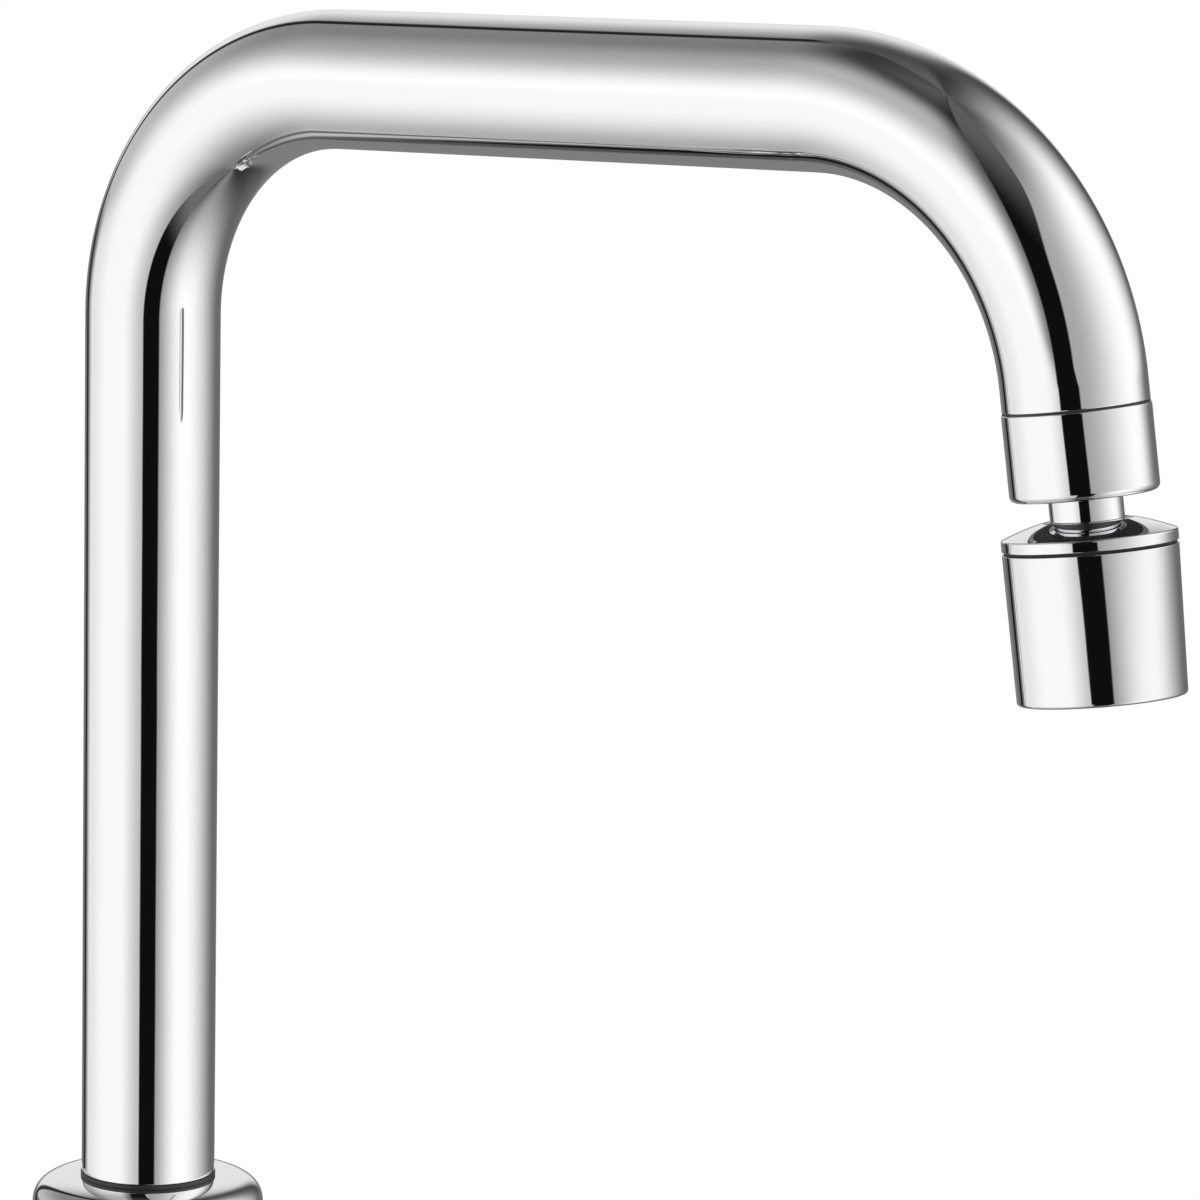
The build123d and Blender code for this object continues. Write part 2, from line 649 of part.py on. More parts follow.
def ball_stem():
    """Stem that spins in the collar, with the ball that the head tilts on."""
    lip = COLLAR_LENGTH - COLLAR_LIP - SLIDING
    groove = lip - STEM_FLANGE / 2
    stem = rod(STEM_FLANGE_R, lip - STEM_FLANGE, lip) + rod(NECK_R, lip, BALL_AT)
    ball = Sphere(BALL_R) - rod(BALL_R, BALL_FLAT, BALL_R)
    stem += Pos(0, 0, BALL_AT) * ball
    floor = CHAMBER_R - SLIDING - 2 * STEM_RING_R - SLIDING
    stem -= ring(STEM_FLANGE_R + 1, floor, groove - STEM_RING_R - SLIDING, groove + STEM_RING_R + SLIDING)
    stem -= rod(STEM_BORE_R, 0, BALL_AT + BALL_R)
    return end_at * stem


def stem_o_ring():
    """Rubber ring in the stem's flange."""
    height = COLLAR_LENGTH - COLLAR_LIP - SLIDING - STEM_FLANGE / 2
    return end_at * o_ring(CHAMBER_R - SLIDING - STEM_RING_R, STEM_RING_R, height)


# Head

def ball_seat_ring():
    """Plastic ring between the ball and the head, ball-shaped inside and out."""
    inner = BALL_R + BALL_GAP
    outer = inner + SEAT_WALL
    middle = (SEAT_FROM + SEAT_TO) / 2
    return head_at * turned(
        ThreePointArc(polar(inner, SEAT_FROM), polar(inner, middle), polar(inner, SEAT_TO))
        + Line(polar(inner, SEAT_TO), polar(outer, SEAT_TO))
        + ThreePointArc(polar(outer, SEAT_TO), polar(outer, middle), polar(outer, SEAT_FROM))
        + Line(polar(outer, SEAT_FROM), polar(inner, SEAT_FROM))
    )


def head_cap():
    """Chrome cap with a shallow cone, whose opening holds the ball from above."""
    ball = BALL_R + BALL_GAP
    neck_edge = (OPENING_R, -on_sphere(ball, OPENING_R))
    ball_edge = polar(ball, POCKET_FROM)
    neck_angle = math.degrees(math.atan2(neck_edge[0], -neck_edge[1]))
    cone_low = (HEAD_R, RIM_TOP)
    cone_high = (OPENING_R, OPENING_TOP)
    cone_mid = ((HEAD_R + OPENING_R) / 2, (RIM_TOP + OPENING_TOP) / 2 - CONE_BULGE)
    cap = turned(
        Line((HEAD_R, RIM_BOTTOM), cone_low)
        + ThreePointArc(cone_low, cone_mid, cone_high)
        + Line(cone_high, neck_edge)
        + ThreePointArc(neck_edge, polar(ball, (neck_angle + POCKET_FROM) / 2), ball_edge)
        + Line(ball_edge, polar(HEAD_POCKET_R, POCKET_FROM))
        + ThreePointArc(polar(HEAD_POCKET_R, POCKET_FROM), polar(HEAD_POCKET_R, 80), (HEAD_POCKET_R, 0))
        + Line((HEAD_POCKET_R, 0), (HEAD_POCKET_R, CAP_SKIRT_END))
        + Line((HEAD_POCKET_R, CAP_SKIRT_END), (CAP_SKIRT_R, CAP_SKIRT_END))
        + Line((CAP_SKIRT_R, CAP_SKIRT_END), (CAP_SKIRT_R, RIM_BOTTOM))
        + Line((CAP_SKIRT_R, RIM_BOTTOM), (HEAD_R, RIM_BOTTOM))
    )
    rim = cap.edges().filter_by(GeomType.CIRCLE).filter_by(lambda e: abs(e.radius - HEAD_R) < 0.01)
    return head_at * fillet(rim.sort_by(Axis.Z)[0], RIM_ROUND)


def shell_radius(height):
    """Outer radius of the tapered sleeve."""
    return HEAD_R - (height - RIM_BOTTOM) * math.tan(math.radians(HEAD_TAPER))


def head_shell():
    """Tapered chrome sleeve that screws on the cap and carries the aerator on its lip."""
    top = RIM_BOTTOM + HEAD_SEAM
    inner = CAP_SKIRT_R + SLIDING
    sleeve = turned_corners(
        (inner, top), (shell_radius(top), top), (shell_radius(SHELL_END), SHELL_END),
        (SHELL_LIP_R, SHELL_END), (SHELL_LIP_R, SHELL_END - SHELL_LIP), (inner, SHELL_END - SHELL_LIP),
    )
    rims = sleeve.edges().filter_by(GeomType.CIRCLE).group_by(Axis.Z)
    return head_at * fillet(rims[-1], SHELL_ROUND)


def lower_seat():
    """Plastic cup under the ball."""
    ball = BALL_R + BALL_GAP
    outer = CAP_SKIRT_R - FITTED
    top_edge = (math.sqrt(ball ** 2 - LOWER_SEAT_TOP ** 2), LOWER_SEAT_TOP)
    bore_edge = (LOWER_SEAT_BORE_R, on_sphere(ball, LOWER_SEAT_BORE_R))
    middle_r = (top_edge[0] + bore_edge[0]) / 2
    return head_at * turned(
        Line((outer, LOWER_SEAT_TOP), top_edge)
        + ThreePointArc(top_edge, (middle_r, on_sphere(ball, middle_r)), bore_edge)
        + Line(bore_edge, (LOWER_SEAT_BORE_R, LOWER_SEAT_END))
        + Line((LOWER_SEAT_BORE_R, LOWER_SEAT_END), (outer, LOWER_SEAT_END))
        + Line((outer, LOWER_SEAT_END), (outer, LOWER_SEAT_TOP))
    )


def head_seal():
    """Rubber seal on the aerator."""
    return head_at * ring(CAP_SKIRT_R - FITTED, 2 * LOWER_SEAT_BORE_R, LOWER_SEAT_END, LOWER_SEAT_END + HEAD_SEAL)


def aerator_span():
    """Top and bottom of the aerator housing."""
    return LOWER_SEAT_END + HEAD_SEAL, SHELL_END - SHELL_LIP


def aerator_housing():
    """Plastic can with a ring of jet holes in its top."""
    top, bottom = aerator_span()
    outer = CAP_SKIRT_R - FITTED
    can = ring(outer, outer - AERATOR_WALL, top, bottom) + rod(outer, top, top + AERATOR_TOP)
    for jet in range(JETS):
        can -= Rot(0, 0, 360 / JETS * jet) * Pos(LOWER_SEAT_BORE_R, 0, 0) * rod(JET_R, top, top + AERATOR_TOP)
    return head_at * can


def hex_places(rings, pitch):
    """Centres of a hexagonal pattern of this many rings round one."""
    places = []
    for row in range(-rings, rings + 1):
        count = 2 * rings + 1 - abs(row)
        for column in range(count):
            places.append(((column - (count - 1) / 2) * pitch, row * pitch * math.sqrt(3) / 2))
    return places


def aerator_screens():
    """Two perforated discs that break up the water."""
    top, _ = aerator_span()
    radius = CAP_SKIRT_R - FITTED - AERATOR_WALL - SLIDING
    holes = [Pos(x, y) * Circle(SCREEN_HOLE_R) for x, y in hex_places(2, SCREEN_PITCH)]
    screen = extrude(Circle(radius) - holes, SCREEN_THICK)
    return head_at * Compound([Pos(0, 0, top + drop) * screen for drop in SCREEN_AT])


def outlet_grid():
    """Honeycomb at the outlet."""
    _, bottom = aerator_span()
    radius = CAP_SKIRT_R - FITTED - AERATOR_WALL - SLIDING
    cell = RegularPolygon((CELL_PITCH - CELL_WALL) / 2, 6, major_radius=False, rotation=30)
    cells = [Pos(x, y) * cell for x, y in hex_places(3, CELL_PITCH)]
    grid = extrude(Circle(radius) - cells, GRID_THICK)
    return head_at * Pos(0, 0, bottom + GRID_DROP - GRID_THICK) * grid


parts = {
    "body_casting": body_casting(),
    "hot_cold_mark": hot_cold_mark(),
    "base_ring": base_ring(),
    "base_gasket": base_gasket(),
    "foot_ring": foot_ring(),
    "mount_stud": mount_stud(),
    "horseshoe_washer": clamp_plate(-WORKTOP, CLAMP_RUBBER),
    "horseshoe_plate": clamp_plate(-WORKTOP - CLAMP_RUBBER, CLAMP_STEEL),
    "mounting_nut": mounting_nut(),
    "spout_set_screw": spout_set_screw(),
    "port_seals": port_seals(),
    "cartridge_base": cartridge_base(),
    "fixed_disc": fixed_disc(),
    "moving_disc": moving_disc(),
    "disc_carrier": disc_carrier(),
    "cartridge_housing": cartridge_housing(),
    "spindle_rotor": spindle_rotor(),
    "pivot_pin": pivot_pin(),
    "spindle": spindle(),
    "retaining_nut": retaining_nut(),
    "cartridge_cap": cartridge_cap(),
    "lever_handle": lever_handle(),
    "lever_screw": lever_screw(),
    "screw_plug": screw_plug(),
    "spout_tube": spout_tube(),
    "spout_spigot": spout_spigot(),
    "spigot_slide_rings": spigot_slide_rings(),
    "spigot_o_rings": spigot_o_rings(),
    "spout_end_bush": spout_end_bush(),
    "outlet_collar": outlet_collar(),
    "collar_seal": collar_seal(),
    "ball_stem": ball_stem(),
    "stem_o_ring": stem_o_ring(),
    "ball_seat_ring": ball_seat_ring(),
    "head_cap": head_cap(),
    "head_shell": head_shell(),
    "lower_seat": lower_seat(),
    "head_seal": head_seal(),
    "aerator_housing": aerator_housing(),
    "aerator_screens": aerator_screens(),
    "outlet_grid": outlet_grid(),
}

os.makedirs("parts", exist_ok=True)
for name, shape in parts.items():
    export_step(shape, f"parts/{name}.step")

print("spout end", corners[3], "ball", ball_at.position, "head axis", Plane(head_at).z_dir)
print("pieces", len(parts))
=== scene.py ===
# %% [markdown]
# # A chrome kitchen mixer tap
# This lesson dresses a kitchen mixer tap. The tap's pieces, sizes and joints are already fixed, so Blender's
# work is the finish: mirror-bright chrome, brass, rubber and moulded plastic, under a plain studio light.
# Chrome has no colour of its own. It shows what is round it, so the surfaces have to be exactly smooth, and
# the studio has to be built with as much care as the tap.

# %% Load the fixed frame
import json
import math

import bpy
import numpy as np
from mathutils import Matrix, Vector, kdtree

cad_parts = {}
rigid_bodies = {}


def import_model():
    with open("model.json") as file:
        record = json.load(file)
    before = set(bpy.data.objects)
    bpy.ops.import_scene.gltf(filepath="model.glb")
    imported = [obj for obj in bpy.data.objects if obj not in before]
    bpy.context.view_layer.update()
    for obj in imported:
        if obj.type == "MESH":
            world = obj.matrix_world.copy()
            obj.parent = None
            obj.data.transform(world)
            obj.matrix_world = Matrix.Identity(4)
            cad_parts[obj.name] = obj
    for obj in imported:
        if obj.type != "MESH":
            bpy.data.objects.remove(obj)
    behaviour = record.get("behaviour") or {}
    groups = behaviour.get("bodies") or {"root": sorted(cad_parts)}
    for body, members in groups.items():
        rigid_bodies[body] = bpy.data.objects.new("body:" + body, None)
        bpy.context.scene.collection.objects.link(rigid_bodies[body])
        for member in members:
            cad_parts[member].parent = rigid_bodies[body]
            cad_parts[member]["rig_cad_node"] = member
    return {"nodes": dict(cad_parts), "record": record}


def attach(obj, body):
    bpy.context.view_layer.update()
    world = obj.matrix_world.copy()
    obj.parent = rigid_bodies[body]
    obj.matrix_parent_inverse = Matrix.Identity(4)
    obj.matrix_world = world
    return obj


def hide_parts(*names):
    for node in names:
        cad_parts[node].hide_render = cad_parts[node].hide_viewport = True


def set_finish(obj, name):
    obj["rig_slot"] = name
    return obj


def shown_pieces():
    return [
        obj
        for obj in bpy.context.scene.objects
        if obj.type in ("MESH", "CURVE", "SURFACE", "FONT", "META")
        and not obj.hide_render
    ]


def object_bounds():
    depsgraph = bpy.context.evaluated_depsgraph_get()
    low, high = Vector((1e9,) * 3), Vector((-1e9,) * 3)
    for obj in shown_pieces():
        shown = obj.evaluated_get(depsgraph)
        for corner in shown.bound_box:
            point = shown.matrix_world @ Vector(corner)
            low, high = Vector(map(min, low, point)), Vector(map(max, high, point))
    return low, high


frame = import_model()
cad_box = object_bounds()
joints = {joint["name"]: joint for joint in frame["record"]["behaviour"]["joints"]}

# %% [markdown]
# ## Sizes
# The tap is drawn in millimetres, because its maker thinks in them, and one factor turns them into Blender's
# metres when a mesh is made. The places of the spout's end, the ball and the lever's pivot are read from the
# frame's joints, so the surfaces stay on the pieces that carry them.

# %% Sizes in millimetres
MM = 0.001
TINY = 1e-9
TURN_STEPS = 192        # faces round a turned piece
BODY_R, BODY_TOP, BODY_FOOT = 24.5, 150.0, 1.5
COLLAR_R = 14.3
SPOUT_END = np.array(joints["stem_spin"]["pos_m"]) / MM
BALL = np.array(joints["head_tilt_in"]["pos_m"]) / MM
PIVOT = np.array(joints["lever_turn"]["pos_m"]) / MM
print("spout end", SPOUT_END, "ball", BALL, "pivot", PIVOT)

# %% [markdown]
# ## A frame to build in
# Most pieces are turned about an axis of their own: the riser's, the spout end's, the head's or the lever's.
# A small class keeps that axis and turns the piece's own coordinates into the tap's. The head hangs slightly
# out of line with the spout's end, and the lever's hub leans by half of the lever's lift.

# %% Axes of the pieces
HEAD_TILT_IN, HEAD_TILT_SIDE, LIFT_HALF = 0.9, 0.7, 12.5        # degrees


def unit(vectors):
    """Vectors with the same directions and a length of one."""
    return vectors / np.linalg.norm(vectors, axis=-1, keepdims=True)


class Axle:
    """An origin and three directions, the third along the axis that a piece is turned about."""

    def __init__(self, origin, across, along):
        self.origin = np.array(origin, float)
        along, across = unit(np.array(along, float)), np.array(across, float)
        across = unit(across - along * (across @ along))
        self.basis = np.stack([across, np.cross(along, across), along])

    def turned(self, first, second=0.0):
        """The same origin, turned about its own first direction and then its second, in degrees."""
        angles = np.radians([first, second])
        (cos_1, cos_2), (sin_1, sin_2) = np.cos(angles), np.sin(angles)
        turn_1 = np.array([[1, 0, 0], [0, cos_1, -sin_1], [0, sin_1, cos_1]])
        turn_2 = np.array([[cos_2, 0, sin_2], [0, 1, 0], [-sin_2, 0, cos_2]])
        copy = Axle(self.origin, self.basis[0], self.basis[2])
        copy.basis = (turn_1 @ turn_2).T @ self.basis
        return copy

    def points(self, local):
        return self.origin + local @ self.basis


UPRIGHT = Axle((0, 0, 0), (1, 0, 0), (0, 0, 1))
NOSE = Axle(SPOUT_END, (1, 0, 0), joints["stem_spin"]["axis"])
HEAD = Axle(BALL, (1, 0, 0), joints["stem_spin"]["axis"]).turned(HEAD_TILT_IN, -HEAD_TILT_SIDE)
SIDE = Axle((0, 0, PIVOT[2]), (0, 1, 0), (1, 0, 0))
CARTRIDGE = Axle(PIVOT, (0, 1, 0), (1, 0, 0))
LEVER = CARTRIDGE.turned(-LIFT_HALF)
print("head's axis", HEAD.basis[2])

# %% [markdown]
# ## Outlines with soft corners
# A mirror shows every edge. On the real tap each corner is broken by polishing, so an outline's corner
# becomes a small arc. A bevel modifier could do that, but Blender's averaged normals would then bend the
# reflections on the long flat stretches beside the corner. So the normal is worked out with each point.

# %% Outline of a turned piece
STRAIGHT = 0.02         # a turn in radians that is too small to be rounded


def soften(corners, steps=6):
    """Points and normals of a closed outline. A corner (radius, height, round) becomes an arc of that
    rounding: the arc starts where a circle of that radius touches both edges. A corner with no rounding is a
    point of a smooth curve, whose normal is the mean of its two edges' normals."""
    flat = np.array([corner[:2] for corner in corners], float)
    rounding = np.array([corner[2] if len(corner) > 2 else 0.0 for corner in corners])
    x, y = flat.T
    if np.sum(x * np.roll(y, -1) - np.roll(x, -1) * y) < 0:
        flat, rounding = flat[::-1], rounding[::-1]
    ahead = unit(np.roll(flat, -1, 0) - flat)
    points, normals = [], []
    for at, into, out, radius in zip(flat, np.roll(ahead, 1, 0), ahead, rounding):
        turn = math.atan2(into[0] * out[1] - into[1] * out[0], into @ out)
        if radius == 0 or abs(turn) < STRAIGHT:
            mean = unit(into + out)
            points.append(at)
            normals.append((mean[1], -mean[0]))
            continue
        start = at - into * radius * math.tan(abs(turn) / 2)
        side = math.copysign(1.0, turn)
        centre = start + side * radius * np.array([-into[1], into[0]])
        for angle in np.linspace(0, turn, steps + 1):
            cos, sin = math.cos(angle), math.sin(angle)
            normal = np.array([sin * into[0] + cos * into[1], sin * into[1] - cos * into[0]])
            points.append(centre + side * radius * normal)
            normals.append(normal)
    return np.array(points), np.array(normals)


def refine(points, normals, step):
    """The same outline with points added on its long edges, no further apart than step."""
    new_points, new_normals = [], []
    next_points, next_normals = np.roll(points, -1, 0), np.roll(normals, -1, 0)
    for point, next_point, normal, next_normal in zip(points, next_points, normals, next_normals):
        count = max(1, math.ceil(np.linalg.norm(next_point - point) / step))
        share = np.arange(count)[:, None] / count
        new_points.append(point + (next_point - point) * share)
        new_normals.append(normal + (next_normal - normal) * share)
    return np.concatenate(new_points), np.concatenate(new_normals)


def arc(centre, radius, start, end, steps=16):
    """Corners along an arc about (radius, height) centre, with angles in degrees from the outward side."""
    angle = np.radians(np.linspace(start, end, steps + 1))
    return [(centre[0] + radius * math.cos(turn), centre[1] + radius * math.sin(turn)) for turn in angle]


print("corner points", len(soften([(1, 0, 0.1), (2, 0, 0.1), (2, 1, 0.1)])[0]))

# %% [markdown]
# ## Carrying an outline round an axis or along a tube
# A turned piece is its outline swept round a straight axis. The spout is the same thing round a bent axis: a
# tall thin outline, its wall, carried round a centre line with two bends. So one function makes both. It
# takes the outline's height as a distance along the centre line, and its radius as a distance from it.


# %% Surfaces from outlines
def full_turn(steps):
    """Angles of the points round a ring."""
    return np.linspace(0, 2 * np.pi, steps, endpoint=False)


def grid_faces(rows, columns, closed=False):
    """Faces of a grid that is closed round its columns, and round its rows too if asked."""
    row, column = np.meshgrid(np.arange(rows if closed else rows - 1), np.arange(columns), indexing="ij")
    below, beside = (row + 1) % rows, (column + 1) % columns
    return np.stack([row * columns + column, row * columns + beside, below * columns + beside,
                     below * columns + column], -1).reshape(-1, 4).tolist()


def capped_faces(rows, columns):
    """Faces of a grid whose first and last rows are closed by one face each."""
    last = (rows - 1) * columns
    return grid_faces(rows, columns) + [list(range(columns))[::-1], list(range(last, last + columns))]


def new_object(name, points, faces):
    """A linked object whose mesh has these points, given in millimetres."""
    mesh = bpy.data.meshes.new(name)
    mesh.from_pydata((points.reshape(-1, 3) * MM).tolist(), [], faces)
    thing = bpy.data.objects.new(name, mesh)
    bpy.context.scene.collection.objects.link(thing)
    return thing


def make_piece(name, points, normals, faces, body, slot, *nodes):
    """A smooth piece with its own normals, riding on a body and standing for its nodes."""
    piece = new_object(name, points, faces)
    piece.data.polygons.foreach_set("use_smooth", np.ones(len(faces), bool))
    piece.data.update()
    piece.data.normals_split_custom_set_from_vertices(unit(normals.reshape(-1, 3)).tolist())
    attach(piece, body)
    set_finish(piece, slot)
    if nodes:
        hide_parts(*nodes)
    print(name, "rides on", body, "with", len(faces), "faces")
    return piece


def straight(axle):
    """Centre line of a turned piece: the point at a distance is the origin plus that much of the axis."""
    def line(distance):
        centre = axle.origin + distance[:, None] * axle.basis[2]
        return (centre, *(np.repeat(direction[None], len(distance), 0) for direction in axle.basis))
    return line


def swept(outline, line, steps=TURN_STEPS):
    """Points, normals and faces of a closed outline carried round a centre line. With the outline's radius r
    and height h, the point at angle t is C(h) + r (cos t A + sin t B), where A and B cross the line there."""
    flat, flat_normals = outline
    centre, first, second, along = line(flat[:, 1])
    angle = full_turn(steps)[None, :, None]
    radial = np.cos(angle) * first[:, None] + np.sin(angle) * second[:, None]
    points = centre[:, None] + flat[:, :1, None] * radial
    normals = flat_normals[:, :1, None] * radial + flat_normals[:, 1:, None] * along[:, None]
    faces = grid_faces(len(flat), steps, closed=True)
    return closed_on_axis(points, normals, faces, np.abs(flat[:, 0]) < TINY)


def closed_on_axis(points, normals, faces, on_axis):
    """Rings that lie on the axis become one point each, and faces that fold flat there are dropped."""
    if not on_axis.any():
        return points, normals, faces
    keep = np.arange(points[..., 0].size).reshape(points.shape[:2])
    keep[on_axis] = keep[on_axis, :1]
    normals[on_axis] = normals[on_axis].mean(1, keepdims=True)
    used, index = np.unique(keep.ravel(), return_inverse=True)
    merged = [list(dict.fromkeys(index[face].tolist())) for face in faces]
    faces = [face for face in merged if len(face) > 2]
    return points.reshape(-1, 3)[used], normals.reshape(-1, 3)[used], faces


def turn_piece(name, corners, axle, body, slot, *nodes, steps=TURN_STEPS):
    """A turned piece from its outline's corners."""
    return make_piece(name, *swept(soften(corners), straight(axle), steps), body, slot, *nodes)


print("faces of a capped grid", len(capped_faces(4, 8)))

# %% [markdown]
# ## The spout's line
# The spout is one 28 mm tube, bent twice. Its centre line is a riser, a bend, a straight run that climbs a
# little, a second bend and a short nose. A curve object with a bevel would be quicker, but with a formula
# every point has its exact normal, and the bends stay round in the mirror. Each bend cuts its tangent's
# length, radius times tan(turn / 2), off the straight legs beside it.

# %% Centre line of the spout
INNER_BEND_R, OUTER_BEND_R = 52.7, 58.0
RUN_RISE, NOSE_LEAN = 2.5, 8.9          # degrees
FOOT_Z, TUBE_START = 150.9, 150.95
RISER_HEIGHT, RUN_LENGTH, NOSE_LENGTH = 234.1, 222.1, 56.2996
first_turn, second_turn = math.radians(90 - RUN_RISE), math.radians(90 + RUN_RISE - NOSE_LEAN)
first_cut, second_cut = INNER_BEND_R * math.tan(first_turn / 2), OUTER_BEND_R * math.tan(second_turn / 2)
RUNS = [                                # length and curvature
    (FOOT_Z + RISER_HEIGHT - TUBE_START - first_cut, 0), (INNER_BEND_R * first_turn, 1 / INNER_BEND_R),
    (RUN_LENGTH - first_cut - second_cut, 0), (OUTER_BEND_R * second_turn, 1 / OUTER_BEND_R),
    (NOSE_LENGTH - second_cut, 0)]
SPOUT_LENGTH = sum(length for length, bend in RUNS)


def step_along(length, bend, facing):
    """Step out and up from the start of a run that faces an angle, straight or round an arc."""
    ahead = np.array([math.cos(facing), math.sin(facing)])
    if bend == 0:
        return length * ahead
    aside = np.array([ahead[1], -ahead[0]])
    return np.sin(length * bend) / bend * ahead + (1 - np.cos(length * bend)) / bend * aside


def spout_line(distance):
    """Points of the centre line at distances along it, and the two directions across it and one along."""
    place, heading = np.zeros((len(distance), 2)), np.zeros(len(distance))
    at, facing, start = np.array([0.0, TUBE_START]), math.pi / 2, 0.0
    for run, bend in RUNS:
        inside = distance >= start - TINY
        along = np.clip(distance - start, 0, run)
        place[inside] = (at + step_along(along[:, None], bend, facing))[inside]
        heading[inside] = (facing - along * bend)[inside]
        at = at + step_along(run, bend, facing)
        facing -= run * bend
        start += run
    centre = np.stack([0 * heading, -place[:, 0], place[:, 1]], 1)
    along = np.stack([0 * heading, -np.cos(heading), np.sin(heading)], 1)
    across = np.repeat([[1.0, 0.0, 0.0]], len(distance), 0)
    return centre, across, np.cross(along, across), along


print("spout's length", round(SPOUT_LENGTH, 2), "end", spout_line(np.array([SPOUT_LENGTH]))[0])

# %% [markdown]
# ## The spout's wall
# The wall is a thin upright outline, carried along the line with a ring of points every two millimetres.

# %% Spout tube
TUBE_R, TUBE_WALL, TUBE_RIM, RING_GAP = 14.1, 1.5, 0.25, 2.0
bore = TUBE_R - TUBE_WALL
wall = soften([(bore, 0, TUBE_RIM), (TUBE_R, 0, TUBE_RIM), (TUBE_R, SPOUT_LENGTH, TUBE_RIM),
               (bore, SPOUT_LENGTH, TUBE_RIM)])
make_piece("spout", *swept(refine(*wall, RING_GAP), spout_line), "spout", "chrome", "spout_tube")

# %% [markdown]
# ## The body
# Under the spout stands the body: a plain column with a domed shoulder, and a stub on its side for the
# cartridge. The shoulder is a quarter of a fuller ellipse, so the reflections close up towards the spout.

# %% Column and shoulder
SHOULDER_RUN, SHOULDER_DROP, SHOULDER_FULLNESS = 10.1, 6.6, 2.7
SOCKET_R, SOCKET_FLOOR = 11.6, 108.0


def fuller_ellipse(centre, run, drop, power, steps=64):
    """Corners along a quarter of the curve |x / run| ** power + |y / drop| ** power = 1, which is an ellipse
    when power is 2 and fills its corner more as power grows."""
    angle = np.linspace(0, np.pi / 2, steps + 1)
    share_x, share_y = np.cos(angle).clip(0) ** (2 / power), np.sin(angle) ** (2 / power)
    return list(zip((centre[0] + run * share_x).tolist(), (centre[1] + drop * share_y).tolist()))


shoulder = fuller_ellipse((BODY_R - SHOULDER_RUN, BODY_TOP - SHOULDER_DROP), SHOULDER_RUN, SHOULDER_DROP,
                          SHOULDER_FULLNESS)
column = [(0, BODY_FOOT), (BODY_R, BODY_FOOT, 0.3)] + shoulder + [
    (SOCKET_R, BODY_TOP, 0.6), (SOCKET_R, SOCKET_FLOOR, 0.3), (0, SOCKET_FLOOR)]
body_column = turn_piece("body_column", column, UPRIGHT, "tap_base", "chrome", "body_casting", steps=256)

# %% [markdown]
# ## Holes
# The column has four holes that can be seen: two threaded inlets and the stud's hole in its foot, and the
# well of the set screw at the back. A Boolean cuts them. It throws the worked-out normals away, so they are
# put back: an old point keeps its normal, a new point on the foot looks down, one on the wall looks out from
# the axis, and the wall of a hole looks at the hole's own axis.

# %% Holes of the column
STUD_X, STUD_R, STUD_HOLE, HOLE_PLAY = 12.0, 4.0, 15.0, 0.05
INLET_X, INLET_Y, INLET_R, INLET_DEPTH = -4.0, 8.0, 4.6, 12.0
SCREW_Z, SCREW_R, SCREW_WELL, DRILL_START = BODY_TOP - 9.0, 2.5, 3.0, 5.0
SAME_POINT, SAME_HEIGHT, DRILL_STEPS = 0.002, 0.01, 64
WALL_OUT, WALL_IN, FLOOR_DEPTH = 0.02, 0.1, 0.5     # how far points of a hole's wall and floor may be off


def drill(piece, holes):
    """Cuts round holes (start, direction, depth, radius) in a piece and sets its normals again."""
    old = piece.data
    places = np.zeros((len(old.vertices), 3), np.float32)
    corner_normals = np.zeros((len(old.loops), 3), np.float32)
    corner_vertex = np.zeros(len(old.loops), int)
    old.vertices.foreach_get("co", places.ravel())
    old.corner_normals.foreach_get("vector", corner_normals.ravel())
    old.loops.foreach_get("vertex_index", corner_vertex)
    known = np.zeros_like(places)
    known[corner_vertex] = corner_normals
    old_points = kdtree.KDTree(len(places))
    for index, point in enumerate(places.tolist()):
        old_points.insert(point, index)
    old_points.balance()
    for start, along, depth, radius in holes:
        outline = soften([(0, 0), (radius, 0), (radius, depth), (0, depth)])
        points, _, faces = swept(outline, straight(Axle(start, (1, 0, 0), along)), DRILL_STEPS)
        cutter = new_object("drill", points, faces)
        cut = piece.modifiers.new("hole", "BOOLEAN")
        cut.operation, cut.solver, cut.object = "DIFFERENCE", "EXACT", cutter
        bpy.context.view_layer.update()
        shape = bpy.data.meshes.new_from_object(piece.evaluated_get(bpy.context.evaluated_depsgraph_get()))
        piece.modifiers.clear()
        piece.data = shape
        bpy.data.meshes.remove(cutter.data)     # takes the cutter with it

    def outside_normal(corner):
        """Normal of a point that is on no hole."""
        _, index, gap = old_points.find((corner * MM).tolist())
        if gap < SAME_POINT * MM:
            return known[index]
        if abs(corner[2] - BODY_FOOT) < SAME_HEIGHT:
            return 0.0, 0.0, -1.0
        return corner * (1, 1, 0) / math.hypot(corner[0], corner[1])

    normals = []
    for face in piece.data.polygons:
        corners = np.array([piece.data.vertices[vertex].co for vertex in face.vertices]) / MM
        own = wall_of_hole(corners, holes)
        normals.extend([outside_normal(corner) for corner in corners] if own is None else own)
    piece.data.polygons.foreach_set("use_smooth", np.ones(len(piece.data.polygons), bool))
    piece.data.normals_split_custom_set(np.array(normals, float).tolist())


def wall_of_hole(corners, holes):
    """Normals of a face's corners if the face is a hole's wall or floor, or None."""
    for start, along, _, radius in holes:
        depth = (corners - start) @ along
        inward = start + depth[:, None] * along - corners
        gap = np.linalg.norm(inward, axis=1)
        if (gap > radius + WALL_OUT).any():
            continue
        if np.ptp(depth) < SAME_HEIGHT and depth[0] > FLOOR_DEPTH:
            return np.repeat(-along[None], len(corners), 0)
        if np.ptp(depth) > SAME_HEIGHT and (gap > radius - WALL_IN).all():
            return inward / gap[:, None]
    return None


